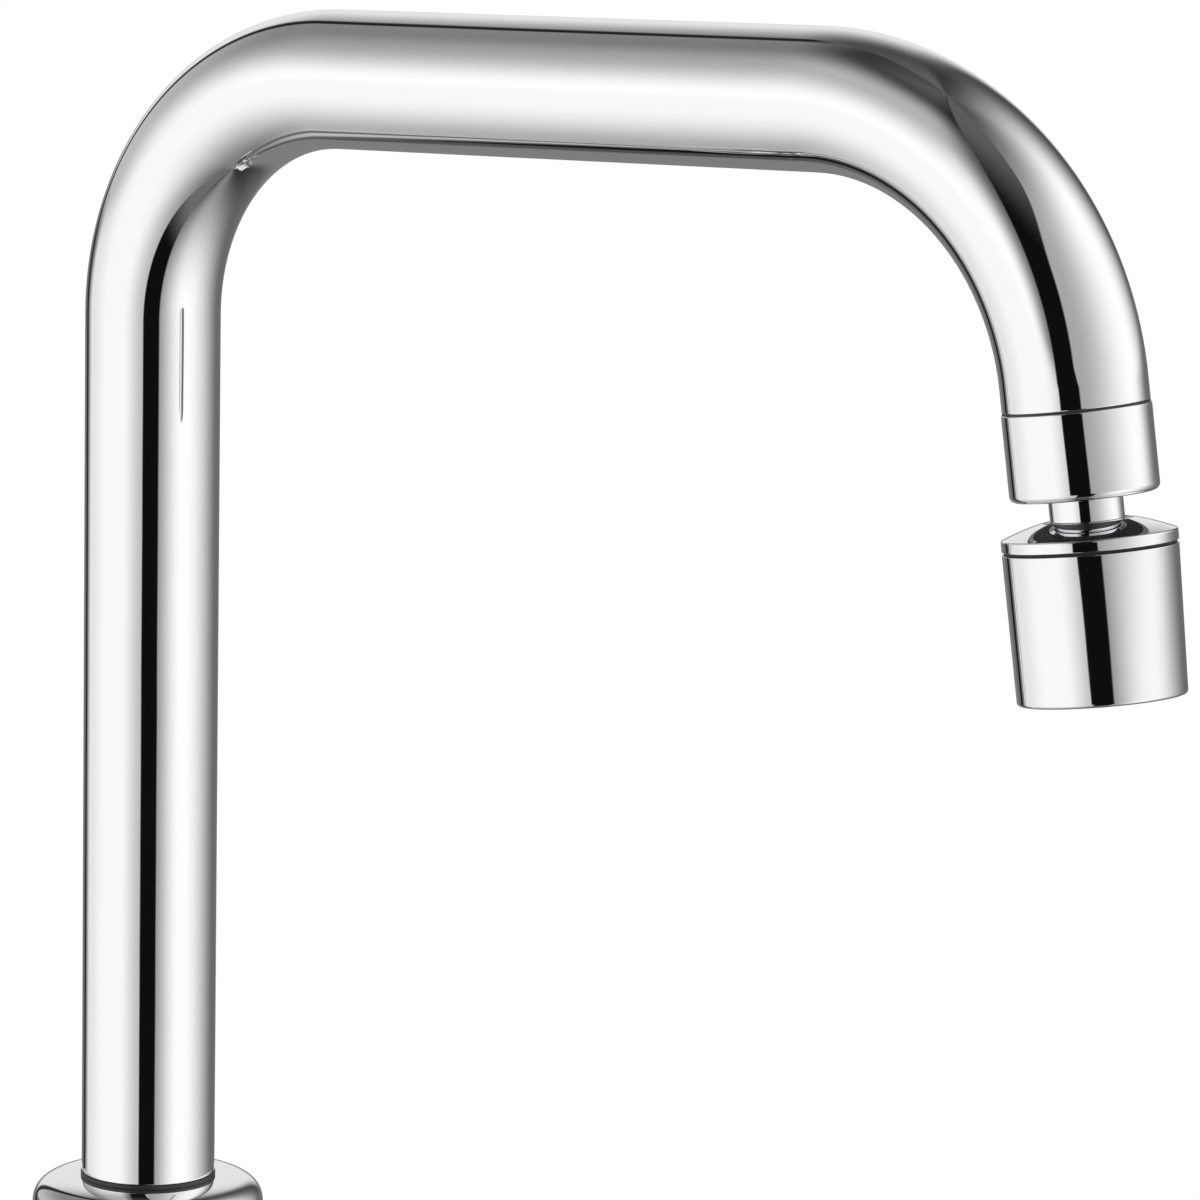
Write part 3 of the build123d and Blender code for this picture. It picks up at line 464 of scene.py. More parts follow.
up, forward = np.array([0.0, 0.0, 1.0]), np.array([0.0, -1.0, 0.0])
holes = [((INLET_X, side * INLET_Y, 0), up, BODY_FOOT + INLET_DEPTH, INLET_R) for side in (-1, 1)]
holes.append(((STUD_X, 0, 0), up, BODY_FOOT + STUD_HOLE, STUD_R + HOLE_PLAY))
holes.append(((0, BODY_R + DRILL_START, SCREW_Z), forward, DRILL_START + SCREW_WELL, SCREW_R + HOLE_PLAY))
drill(body_column, holes)
print("column faces", len(body_column.data.polygons))

# %% [markdown]
# ## A blend between two round walls
# The stub and the column are cast in one, so a small fillet joins them. Think of a ball that rolls along the
# corner and touches both walls. Its centre stays where the two walls, both grown by the ball's radius, meet.
# At each place the fillet is the arc of the ball between its two points of contact.

# %% Rolling-ball fillet and side boss
BOSS_R, BOSS_NECK_R, BOSS_BORE_R, BOSS_BLEND = 22.5, 21.0, 19.0, 3.0
BOSS_ROOT, BOSS_STEP, BOSS_END = 5.0, 36.0, 40.0


def fillet_arc(centre, first, second, radius, steps=12):
    """Points and normals of the ball's arc. First and second are the directions from its centre to the two
    points of contact: u(t) = (sin((1 - t) w) first + sin(t w) second) / sin w, with w the angle between."""
    width = np.arccos(np.clip((first * second).sum(-1), -1, 1))[..., None]
    share = np.linspace(0, 1, steps + 1)[:, None, None]
    out = (np.sin((1 - share) * width) * first + np.sin(share * width) * second) / np.sin(width)
    return centre + radius * out, -out


angle = full_turn(TURN_STEPS)
boss_out = np.stack([0 * angle, np.cos(angle), np.sin(angle)], 1)
centre = (BOSS_R + BOSS_BLEND) * boss_out
centre[:, 0] = np.sqrt((BODY_R + BOSS_BLEND) ** 2 - centre[:, 1] ** 2)
to_column = -centre * (1, 1, 0) / (BODY_R + BOSS_BLEND)
blend_points, blend_normals = fillet_arc(centre, to_column, -boss_out, BOSS_BLEND)
rim, rim_normals = soften([
    (BOSS_BORE_R, BOSS_ROOT, 0.2), (BOSS_R, BOSS_ROOT, 0.2), (BOSS_R, BOSS_STEP, 0.3),
    (BOSS_NECK_R, BOSS_STEP, 0.2), (BOSS_NECK_R, BOSS_END, 0.3), (BOSS_BORE_R, BOSS_END, 0.3)])
outer = rim[:, 1] > BOSS_ROOT + 1
rim = np.concatenate([rim[outer], [(BOSS_BORE_R, BOSS_ROOT)]])
rim_normals = np.concatenate([rim_normals[outer], [(-1.0, 0.0)]])
rim_points, rim_out, _ = swept((rim, rim_normals), straight(SIDE))
points = np.concatenate([blend_points + PIVOT[2] * up, rim_points])
normals = np.concatenate([blend_normals, rim_out])
make_piece("side_boss", points, normals, grid_faces(*points.shape[:2], closed=True), "tap_base", "chrome")

# %% [markdown]
# ## Rings of the body
# The column stands in a chrome trim ring on a rubber gasket. A dark washer lies between body and spout, and a
# small enamelled disc above the stub shows hot and cold. All four are turned from their outlines' corners,
# and most of the tap's rings have a plain rectangle for an outline.

# %% Trim ring, gasket, mark and foot washer
MARK_Z, MARK_R, MARK_DEPTH, MARK_PROUD, WASHER_BORE_R = PIVOT[2] + BOSS_R + 9.5, 2.6, 1.1, 0.12, 12.2


def ring_piece(name, inner, outer, start, end, rounding, axle, body, slot, *nodes):
    """A ring with a rectangular outline, whose four roundings go round from the start of its inner wall."""
    corners = zip((inner, outer, outer, inner), (start, start, end, end), rounding)
    turn_piece(name, list(corners), axle, body, slot, *nodes)


ring_piece("base_trim", BODY_R + 0.1, 26.5, BODY_FOOT, 7.0, (0.2, 0.4, 1.4, 0.2),
           UPRIGHT, "tap_base", "chrome", "base_ring")
ring_piece("gasket", 17.0, 26.0, 0.0, BODY_FOOT, (0.3, 0.4, 0.2, 0.2),
           UPRIGHT, "tap_base", "rubber", "base_gasket")
turn_piece("mark", [
    (0, BODY_R - MARK_DEPTH), (MARK_R, BODY_R - MARK_DEPTH, 0.1), (MARK_R, BODY_R + MARK_PROUD, 0.12),
    (0, BODY_R + MARK_PROUD)],
    Axle((0, 0, MARK_Z), (0, 1, 0), (1, 0, 0)), "tap_base", "enamel", "hot_cold_mark", steps=64)
ring_piece("foot_washer", WASHER_BORE_R, COLLAR_R, BODY_TOP, FOOT_Z, (0.1, 0.15, 0.2, 0.1),
           UPRIGHT, "tap_base", "dark_plastic", "foot_ring")

# %% [markdown]
# ## Threads
# A screw thread is a radius that falls and rises once per pitch as the height grows, and the wave climbs by
# one pitch in a turn. So the radius at angle t and height h is R minus the depth times a wave of
# h / pitch - t / 2 pi. The stud's thread faces out and the inlets' threads face in, with a negative depth.

# %% Stud and inlet threads
STUD_TAIL, STUD_TOP, STUD_PITCH, STUD_DEPTH = -75.0, 15.5, 1.25, 0.62
INLET_PITCH, INLET_THREAD = 1.0, 0.42
WAVE = 0.62             # amplitude of the wave, which is cut off at 0.5 above and below its middle


def thread(outer, depth, pitch, start, end, columns=48, rows_per_pitch=8):
    """Points of a threaded surface. The wave is a sine with its crests cut off, which is how a rolled thread
    looks, and both ends are chamfered over one millimetre."""
    height = np.linspace(start, end, int((end - start) / pitch * rows_per_pitch) + 1)[:, None]
    angle = full_turn(columns)[None]
    wave = np.clip(0.5 - WAVE * np.cos(2 * np.pi * height / pitch - angle), 0, 1)
    chamfer = np.clip(1 - np.minimum(height - start, end - height), 0, 1)
    radius = outer - depth * np.maximum(wave, chamfer)
    return np.stack([radius * np.cos(angle), radius * np.sin(angle), height + 0 * angle], -1)


def grid_normals(points):
    """Normals of a grid that is closed round its columns, from the cross product of its two directions."""
    beside = np.roll(points, -1, 1) - np.roll(points, 1, 1)
    return unit(np.cross(beside, np.gradient(points, axis=0)))


turns = thread(STUD_R, STUD_DEPTH, STUD_PITCH, STUD_TAIL, STUD_TOP) + np.array([STUD_X, 0, 0])
faces = capped_faces(*turns.shape[:2])
make_piece("stud", turns, grid_normals(turns), faces, "tap_base", "steel", "mount_stud")
for side, name in ((-1, "hot_thread"), (1, "cold_thread")):
    inner = thread(INLET_R - 0.5, -INLET_THREAD, INLET_PITCH, BODY_FOOT + 0.3, BODY_FOOT + INLET_DEPTH - 0.1)
    inner = inner[:, ::-1]
    edge = inner[[-1, 0]]
    edge[..., :2] *= (INLET_R - 0.02) / np.linalg.norm(edge[..., :2], axis=-1, keepdims=True)
    sleeve = np.concatenate([inner, edge]) + np.array([INLET_X, side * INLET_Y, 0])
    faces = grid_faces(*sleeve.shape[:2], closed=True)
    make_piece(name, sleeve, grid_normals(sleeve), faces, "tap_base", "brass")

# %% [markdown]
# ## The clamp under the worktop
# Two horseshoes, one of rubber and one of steel, hang on the stud and let the hoses pass. Each is a flat
# outline carried up its thickness, with its edge rolled over by a fraction of a millimetre.

# %% Horseshoes
CLAMP_R, CLAMP_SLOT, WORKTOP, CLAMP_RUBBER, CLAMP_STEEL = 25.0, 30.0, 38.0, 3.0, 2.5
MOUTH_ROUND, SLOT_ROUND, ROLL_STEPS = 0.8, 2.0, 5


def plate_piece(name, outline, bottom, top, edge, slot, node):
    """A flat piece: the outline moves in along its normals by edge (1 - cos t) as the height rises by
    edge sin t, at the bottom and at the top."""
    flat, outward = outline
    quarter = np.linspace(0, np.pi / 2, ROLL_STEPS)
    turn = np.concatenate([-quarter[::-1], quarter])[:, None, None]
    height = np.repeat([bottom + edge, top - edge], ROLL_STEPS)[:, None, None] + edge * np.sin(turn)
    column = np.ones((1, len(flat), 1))
    points = np.concatenate([flat - edge * (1 - np.cos(turn)) * outward, height * column], -1)
    normals = np.concatenate([np.cos(turn) * outward, np.sin(turn) * column], -1)
    return make_piece(name, points, normals, capped_faces(*points.shape[:2]), "tap_base", slot, node)


mouth = math.degrees(math.asin(CLAMP_SLOT / 2 / CLAMP_R))
rim = arc((0, 0), CLAMP_R, -180 + mouth, 180 - mouth, 96)
rim = [(*rim[0], MOUTH_ROUND)] + rim[2:-2] + [(*rim[-1], MOUTH_ROUND)]
slot_end = STUD_X - 2 * STUD_R
horseshoe = soften(rim + [(slot_end, CLAMP_SLOT / 2, SLOT_ROUND), (slot_end, -CLAMP_SLOT / 2, SLOT_ROUND)])
middle = -WORKTOP - CLAMP_RUBBER
plate_piece("rubber_horseshoe", horseshoe, middle, -WORKTOP, 0.4, "rubber", "horseshoe_washer")
plate_piece("steel_horseshoe", horseshoe, middle - CLAMP_STEEL, middle, 0.3, "steel", "horseshoe_plate")

# %% [markdown]
# ## The outlet's collar and ball
# Under the spout's end hang a collar, a ball on a short neck, and the head that tilts on it. The collar's
# lower edge is well rounded. Two thin black rings are painted shade: one darkens the seam above the collar,
# and one darkens the collar's underside round the neck.

# %% Collar and ball
COLLAR_TOP, COLLAR_FOOT, COLLAR_FLOOR, COLLAR_BORE_R = 0.35, 17.0, 14.5, 11.05
BALL_AT, BALL_R, BALL_FLAT, BALL_SHOULDER, NECK_R, STEM_BORE_R = 26.4, 9.5, 7.6, 4.4, 7.1, 4.2
FLANGE_TOP, FLANGE_FOOT, FLANGE_R = 10.55, 14.45, 10.8
# Painted shade: a black ring fills the seam between the spout's end and the collar, so the seam looks dark.
ring_piece("collar_seam_painted_shade", WASHER_BORE_R, COLLAR_R - 0.2, 0.02, 0.33, (0.1, 0.1, 0.1, 0.1),
           NOSE, "spout", "dark_plastic")
turn_piece("collar", [
    (COLLAR_BORE_R, COLLAR_TOP, 0.1), (COLLAR_R, COLLAR_TOP, 0.25), (COLLAR_R, COLLAR_FOOT, 1.3),
    (NECK_R + 0.2, COLLAR_FOOT, 0.3), (NECK_R + 0.2, COLLAR_FLOOR, 0.2), (COLLAR_BORE_R, COLLAR_FLOOR, 0.2)],
    NOSE, "spout", "chrome", "outlet_collar")
# Painted shade: a black ring on the collar's underside darkens it round the neck, and darkens its reflection
# in the head.
ring_piece("collar_underside_painted_shade", 8.6, 12.4, 16.9, 17.06, (0.05, 0.05, 0.05, 0.05), NOSE, "spout", "dark_plastic")
ball = arc((0, BALL_AT), BALL_R, -math.degrees(math.asin(BALL_SHOULDER / BALL_R)),
           math.degrees(math.asin(BALL_FLAT / BALL_R)), 40)
ball[0] = (*ball[0], 0.2)
turn_piece("ball_joint", [
    (STEM_BORE_R, FLANGE_TOP, 0.1), (FLANGE_R, FLANGE_TOP, 0.2), (FLANGE_R, FLANGE_FOOT, 0.2),
    (NECK_R, FLANGE_FOOT, 0.3), (NECK_R, BALL_AT - BALL_SHOULDER, 0.3)] + ball + [
    (STEM_BORE_R, BALL_AT + BALL_FLAT, 0.5)], NOSE, "stem", "chrome", "ball_stem")

# %% [markdown]
# ## The outlet's head
# The head has a coned cap, a hair-thin seam and a long sleeve that narrows a little. The cone bulges by a
# fraction of a millimetre, which spreads the light in it as in the photograph.

# %% Head
HEAD_R, HEAD_TAPER = 16.8, math.tan(math.radians(1.1))
RIM_TOP, RIM_BOTTOM, SEAM = -2.1, 0.0, 0.6
OPENING_R, OPENING_TOP, CONE_BULGE = 8.5, -4.9, 0.18
SEAT_R, POCKET_R, POCKET_END, CAP_BORE_R = 9.65, 11.05, 6.0, 14.7
SLEEVE_BORE_R, LIP_R, LIP_TOP, SLEEVE_END = 14.75, 13.4, 27.5, 29.3


def bowed(start, end, bulge, steps=14):
    """Corners along a shallow arc between two points, raised by bulge in its middle."""
    start, end = np.array(start), np.array(end)
    share = np.linspace(0, 1, steps + 1)[:, None]
    lean = unit(np.array([start[1] - end[1], end[0] - start[0]]))
    return [tuple(point) for point in start + (end - start) * share + lean * bulge * 4 * share * (1 - share)]


cone = bowed((HEAD_R, RIM_TOP), (OPENING_R, OPENING_TOP), CONE_BULGE)
cone[0], cone[-1] = (*cone[0], 0.45), (*cone[-1], 0.25)
seat, pocket = arc((0, 0), SEAT_R, -28, -20, 6), arc((0, 0), POCKET_R, -20, 0, 10)
turn_piece("cap", [(HEAD_R, RIM_BOTTOM, 0.12)] + cone + seat + pocket + [
    (POCKET_R, POCKET_END, 0.1), (CAP_BORE_R, POCKET_END, 0.1), (CAP_BORE_R, RIM_BOTTOM, 0.1)],
    HEAD, "head", "chrome", "head_cap")
turn_piece("sleeve", [
    (SLEEVE_BORE_R, SEAM, 0.1), (HEAD_R - SEAM * HEAD_TAPER, SEAM, 0.15),
    (HEAD_R - SLEEVE_END * HEAD_TAPER, SLEEVE_END, 0.7), (LIP_R, SLEEVE_END, 0.3), (LIP_R, LIP_TOP, 0.1),
    (SLEEVE_BORE_R, LIP_TOP, 0.1)], HEAD, "head", "chrome", "head_shell")
ring_piece("seam_ring", 14.8, HEAD_R - 0.4, 0.02, SEAM - 0.02, (0.1, 0.15, 0.15, 0.1), HEAD, "head", "rubber")

# %% [markdown]
# ## The lever's dome
# The cartridge's cap is part of a ball about the lever's pivot, so that the handle's hub rides round it with
# an even gap. The hub follows the cap inside, and outside it is a taller dome, part of a ball of its own.

# %% Cap of the cartridge and hub of the handle
CAP_R, CAP_WALL, CAP_HOLE_R, CAP_BORE, CAP_FOOT = 25.5, 1.3, 11.0, 21.1, 6.05
HUB_IN, HUB_EDGE, HUB_WALL, HUB_APEX = 26.1, math.radians(50), 2.5, 38.0


def angle_at(radius, ball_radius):
    """Height in degrees above a ball's equator where its surface is at a radius from the axis."""
    return math.degrees(math.acos(radius / ball_radius))


cap_in = CAP_R - CAP_WALL
outer = arc((0, 0), CAP_R, angle_at(BOSS_R, CAP_R), angle_at(CAP_HOLE_R, CAP_R), 40)
inner = arc((0, 0), cap_in, angle_at(CAP_HOLE_R, cap_in), angle_at(CAP_BORE, cap_in), 30)
turn_piece("cartridge_dome", [(CAP_BORE, CAP_FOOT, 0.1), (BOSS_R, CAP_FOOT, 0.25)] + outer + inner,
           CARTRIDGE, "tap_base", "chrome", "cartridge_cap")
edge_r, edge_h = (HUB_IN + HUB_WALL) * math.sin(HUB_EDGE), (HUB_IN + HUB_WALL) * math.cos(HUB_EDGE)
hub_centre = (HUB_APEX ** 2 - edge_r ** 2 - edge_h ** 2) / (2 * (HUB_APEX - edge_h))
hub_radius = HUB_APEX - hub_centre
dome = arc((0, hub_centre), hub_radius, math.degrees(math.atan2(edge_h - hub_centre, edge_r)), 90, 60)
dome[0] = (*dome[0], 0.5)
under = arc((0, 0), HUB_IN, 90, 90 - math.degrees(HUB_EDGE), 40)
under[-1] = (*under[-1], 0.4)
turn_piece("hub", dome + under, LEVER, "lever", "chrome", "lever_handle")

# %% [markdown]
# ## The paddle
# The paddle is a rounded rectangle that narrows as it climbs, and its tip is rounded all round. The same
# rolling ball blends it into the hub: for each line up the paddle, the ball sits where the paddle's offset
# surface is one ball's radius outside the dome. Trial points up each line find that place.

# %% Paddle
PADDLE_TOP, PADDLE_ROOT, PADDLE_X, PADDLE_TIP, HANDLE_BLEND = 66.0, 8.0, 60.5, 2.0, 2.0
CORNER_SHARE = 0.84     # corner's radius as a share of half the thickness
TRIALS, BLADE_ROWS, ROW_SPREAD, TIP_ROWS = 600, 60, 0.9, 9
SECTIONS = np.array([   # height, shift along X, width and thickness
    (8.0, 0.0, 20.0, 8.6), (26.0, 0.4, 17.0, 7.4), (46.0, 1.2, 15.2, 6.2), (66.0, 2.6, 14.4, 5.2)])
shift_curve, width_curve, thick_curve = (np.polyfit(SECTIONS[:, 0], row, 3) for row in SECTIONS[:, 1:].T)


def section_lines(arc_steps=10, flat_steps=5):
    """Lines up the paddle: the corner that each belongs to, as shares of the half sizes, and its bearing."""
    lines = []
    for quarter, (sign_x, sign_y) in enumerate(((1, 1), (-1, 1), (-1, -1), (1, -1))):
        for step in range(arc_steps + 1):
            lines.append((sign_x, sign_y, 90 * (quarter + step / arc_steps)))
        for step in range(1, flat_steps):
            share = 1 - 2 * step / flat_steps
            across, ahead = (share, 1) if quarter % 2 == 0 else (1, share)
            lines.append((sign_x * across, sign_y * ahead, 90 * (quarter + 1)))
    return np.array(lines).T


def paddle_point(height):
    """Point of each line at its height. The height is an array of rows by lines."""
    corner_x, corner_y, bearing = section_lines()
    bearing = np.radians(bearing)
    over = np.clip(height - (PADDLE_TOP - PADDLE_TIP), 0, PADDLE_TIP)
    inset = PADDLE_TIP - np.sqrt(PADDLE_TIP ** 2 - over ** 2)
    half_width = np.polyval(width_curve, height) / 2
    half_thick = np.polyval(thick_curve, height) / 2
    corner = CORNER_SHARE * half_thick
    x = corner_x * (half_width - corner) + (corner - inset) * np.cos(bearing)
    y = corner_y * (half_thick - corner) + (corner - inset) * np.sin(bearing)
    return SIDE.points(np.stack([x, height, PADDLE_X + np.polyval(shift_curve, height) - y], -1))


lines = section_lines().shape[1]
trial = np.repeat(np.linspace(PADDLE_ROOT, PADDLE_TOP - 2 * PADDLE_TIP, TRIALS)[:, None], lines, 1)
trial_points = paddle_point(trial)
trial_normals = grid_normals(trial_points)
dome_centre = LEVER.points(np.array([0, 0, hub_centre]))
outside = np.linalg.norm(trial_points + HANDLE_BLEND * trial_normals - dome_centre, axis=-1)
first_out = TRIALS - np.argmax((outside < hub_radius + HANDLE_BLEND)[::-1], 0)
pick = (first_out, np.arange(lines))
ball_centre = trial_points[pick] + HANDLE_BLEND * trial_normals[pick]
to_hub = unit(dome_centre - ball_centre)
blend_points, blend_normals = fillet_arc(ball_centre, to_hub, -trial_normals[pick], HANDLE_BLEND)
rise = np.linspace(0, 1, BLADE_ROWS)[1:, None] ** ROW_SPREAD
climb = trial[pick] + (PADDLE_TOP - PADDLE_TIP - trial[pick]) * rise
tip = PADDLE_TOP - PADDLE_TIP + PADDLE_TIP * np.sin(np.linspace(0, np.pi / 2, TIP_ROWS)[1:, None])
blade = paddle_point(np.concatenate([climb, np.repeat(tip, lines, 1)]))
blade_normals = grid_normals(blade)
blade_normals[-1] = up
root = paddle_point(np.full((1, lines), PADDLE_ROOT))
points = np.concatenate([root, blend_points, blade])
normals = np.concatenate([0 * root - up, blend_normals, blade_normals])
make_piece("paddle", points, normals, capped_faces(*points.shape[:2]), "lever", "chrome")

# %% [markdown]
# ## The plug under the hub
# A grey plug hides the grub screw. Its end follows the hub's dome and stands a hair proud of it, so its
# height at (a, b) across the plug is the dome's own, sqrt(R^2 - a^2 - (h + b)^2), with its rim rolled over.

# %% Plug
PLUG_AT, PLUG_R, PLUG_PROUD, PLUG_ROLL, PLUG_SINK = 31.0, 4.0, 0.15, 0.3, 2.0
PLUG_MIDDLE, PLUG_STEPS = 0.1, 96
roll = np.linspace(0, np.pi / 2, 6)
flat_reach = np.linspace(PLUG_MIDDLE, PLUG_R - PLUG_ROLL, 9)[:-1]
reach = np.concatenate([flat_reach, PLUG_R - PLUG_ROLL + PLUG_ROLL * np.sin(roll), [PLUG_R]])[:, None]
sink = np.concatenate([0 * flat_reach, PLUG_ROLL * (1 - np.cos(roll)), [PLUG_SINK]])[:, None]
angle = full_turn(PLUG_STEPS)
across, ahead = reach * np.cos(angle), reach * np.sin(angle)
out = np.sqrt(hub_radius ** 2 - across ** 2 - (PLUG_AT + ahead - hub_centre) ** 2) + PLUG_PROUD - sink
button = LEVER.points(np.stack([across, -out, PLUG_AT + ahead], -1))
faces = [face[::-1] for face in capped_faces(*button.shape[:2])]
make_piece("plug", button, -grid_normals(button), faces, "lever", "grey_plastic", "screw_plug")

# %% [markdown]
# ## Finishes
# A finish is a net of nodes. The first class below wraps one socket, so that a mask or a roughness reads like
# a formula. The second adds every node with one method.


# %% Shader sums
class Value:
    """A socket that can be added, subtracted and multiplied."""

    def __init__(self, net, socket):
        self.net, self.socket = net, socket

    def math(self, operation, *others):
        return self.net.add("ShaderNodeMath", dict(enumerate((self, *others))), operation=operation)

    def __add__(self, other):
        return self.math("ADD", other)

    def __sub__(self, other):
        return self.math("SUBTRACT", other)

    def __mul__(self, other):
        return self.math("MULTIPLY", other)

    def __rsub__(self, other):
        return self.net.add("ShaderNodeMath", {0: other, 1: self}, operation="SUBTRACT")

    __radd__, __rmul__ = __add__, __mul__

    def blend(self, other, share):
        """This value where share is 0 and the other where it is 1."""
        return self + (other - self) * share

    def rise(self, low, high, start=0.0, end=1.0):
        """The start value below low, the end value above high, and smooth between them."""
        return self.net.add("ShaderNodeMapRange", {
            "Value": self, "From Min": low, "From Max": high, "To Min": start, "To Max": end},
            interpolation_type="SMOOTHSTEP")


class Net:
    """The nodes of one finish, or of the world."""

    def __init__(self, tree):
        self.tree = tree
        tree.nodes.clear()

    def add(self, kind, sockets=None, out=0, stops=(), **settings):
        """Adds a node: its settings, the stops of its ramp, and the values or links of its sockets."""
        node = self.tree.nodes.new(kind)
        for name, value in settings.items():
            setattr(node, name, value)
        for _ in stops[2:]:
            node.color_ramp.elements.new(0.5)
        for number, (place, colour) in enumerate(stops):
            node.color_ramp.elements[number].position = place
            node.color_ramp.elements[number].color = (*colour, 1.0)
        for name, value in (sockets or {}).items():
            if isinstance(value, Value):
                self.tree.links.new(value.socket, node.inputs[name])
            else:
                node.inputs[name].default_value = value
        return Value(self, node.outputs[out])

    def noise(self, place, scale, detail=2.0, rough=0.5):
        return self.add("ShaderNodeTexNoise", {
            "Vector": place, "Scale": scale, "Detail": detail, "Roughness": rough})

    def ramp(self, share, *stops):
        return self.add("ShaderNodeValToRGB", {"Fac": share}, stops=stops)

    def bump(self, height, strength, distance):
        return self.add("ShaderNodeBump", {"Height": height, "Strength": strength, "Distance": distance})

    def finish(self, shader, kind="ShaderNodeOutputMaterial"):
        output = self.tree.nodes.new(kind)
        self.tree.links.new(shader.socket, output.inputs["Surface"])

    def principled(self, **sockets):
        """Ends the net in a Principled shader. A socket's name is written with _ for a blank."""
        named = {name.replace("_", " "): value for name, value in sockets.items()}
        self.finish(self.add("ShaderNodeBsdfPrincipled", named))


def new_finish(name):
    """A material, its net, and the place on the tap in metres."""
    material = bpy.data.materials.new(name)
    material.use_nodes = True
    net = Net(material.node_tree)
    return material, net, net.add("ShaderNodeTexCoord", out="Object")


print("a net can", [name for name in vars(Net) if not name.startswith("_")])

# %% [markdown]
# ## Chrome
# Polished chrome plate is a nearly perfect mirror. What gives it away as metal is small: a faint haze where
# it has been wiped, and a slow waviness left by the polishing wheel. Both are kept very low, because the long
# straight reflections are what the eye reads first.


# %% Chrome finish
def chrome(name):
    material, net, place = new_finish(name)
    wiped = net.noise(place, 35.0, 4.0, 0.6)
    fine = net.noise(place, 900.0)
    tint = net.ramp(wiped, (0.0, (0.885, 0.89, 0.9)), (1.0, (0.915, 0.92, 0.925)))
    rough = 0.022 + 0.03 * wiped.rise(0.45, 0.8) + 0.012 * fine
    waves = net.bump(net.noise(place, 28.0, 1.0), 0.012, 0.01)
    net.principled(Base_Color=tint, Metallic=1.0, Roughness=rough, Normal=waves)
    return material


FINISHES = {"chrome": chrome("polished_chrome")}
print("chrome has", len(FINISHES["chrome"].node_tree.nodes), "nodes")

# %% [markdown]
# ## Plain finishes
# The other pieces show little: machined brass, zinc-plated steel, a stainless screen, black rubber, ceramic
# and moulded plastic. Each has its own grain, so that none is one flat colour when the tap is looked at from
# below. The enamelled mark is a ramp across the disc, under a clear coat.


# %% Other finishes and their pieces
def metal(name, dark, light, rough, grain):
    material, net, place = new_finish(name)
    cloud = net.noise(place, 60.0, 5.0, 0.6)
    lines = net.add("ShaderNodeTexWave", {"Vector": place, "Scale": grain, "Distortion": 1.5, "Detail": 3.0},
                    bands_direction="Z", wave_profile="SAW")
    net.principled(Base_Color=net.ramp(cloud, (0.25, dark), (0.75, light)), Metallic=1.0,
                   Roughness=rough + 0.12 * cloud, Normal=net.bump(lines, 0.12, 0.0001))
    return material


def moulded(name, dark, light, rough, pit):
    material, net, place = new_finish(name)
    cloud = net.noise(place, 120.0, 4.0)
    pits = net.noise(place, pit, 3.0, 0.6)
    net.principled(Base_Color=net.ramp(cloud, (0.3, dark), (0.7, light)), Roughness=rough + 0.15 * pits,
                   Normal=net.bump(pits, 0.25, 0.0002))
    return material


def enamel(name, cold=(0.02, 0.09, 0.42), line=(0.8, 0.8, 0.8), hot=(0.5, 0.02, 0.03)):
    """Blue on the side of the spout and red behind, with a pale line between, under a clear coat."""
    material, net, place = new_finish(name)
    across = net.add("ShaderNodeSeparateXYZ", {0: place}, "Y") * 200.0 + 0.5
    halves = net.ramp(across, (0.0, cold), (0.47, cold), (0.48, line), (0.52, line), (0.53, hot), (1.0, hot))
    net.principled(Base_Color=halves, Roughness=0.25, Coat_Weight=1.0, Coat_Roughness=0.05)
    return material


FINISHES.update({
    "brass": metal("machined_brass", (0.6, 0.43, 0.17), (0.75, 0.57, 0.27), 0.22, 900.0),
    "steel": metal("zinc_plated_steel", (0.5, 0.5, 0.5), (0.66, 0.66, 0.64), 0.3, 700.0),
    "rubber": moulded("black_rubber", (0.012, 0.012, 0.012), (0.025, 0.025, 0.026), 0.55, 2500.0),
    # The dark plastic is the foot washer's own colour, and is also painted shade on the two black rings at
    # the collar.
    "dark_plastic": moulded("dark_acetal_and_painted_shade", (0.02, 0.02, 0.022), (0.035, 0.035, 0.038), 0.3, 1800.0),
    "grey_plastic": moulded("grey_acetal", (0.32, 0.33, 0.35), (0.42, 0.43, 0.45), 0.38, 1500.0),
    "white_plastic": moulded("white_acetal", (0.72, 0.72, 0.7), (0.82, 0.82, 0.8), 0.4, 1500.0),
    "ceramic": moulded("lapped_ceramic", (0.78, 0.76, 0.72), (0.86, 0.84, 0.8), 0.12, 3000.0),
    "enamel": enamel("hot_cold_enamel"),
    "screen": metal("stainless_screen", (0.42, 0.42, 0.42), (0.6, 0.6, 0.6), 0.3, 1500.0)})
slot_of = {part["node"]: part["material_slot"] for part in frame["record"]["subparts"]}
for node, obj in frame["nodes"].items():
    if not obj.material_slots:
        obj.data.materials.append(None)
    for holder in obj.material_slots:
        holder.material = FINISHES[slot_of[node]]
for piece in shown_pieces():
    if "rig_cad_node" not in piece:
        piece.data.materials.clear()
        piece.data.materials.append(FINISHES[piece["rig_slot"]])

# %% [markdown]
# ## The camera
# The photograph was taken with a long lens, a little above the run of the spout and from the left. The
# camera's place and aim come from fitting the tube's outline. A camera looks against its back direction, and
# its right, up and back directions are the columns of its matrix.

# %% Camera
CAMERA_AZIMUTH, CAMERA_PITCH, CAMERA_ROLL = -52.596, 10.065, 0.988      # degrees
CAMERA_PLACE = np.array([-1093.9, -954.9, 532.75])
FOCAL_PIXELS, FRAME_PIXELS, SENSOR, FAR_END = 7018.0, 1200.0, 36.0, 50.0


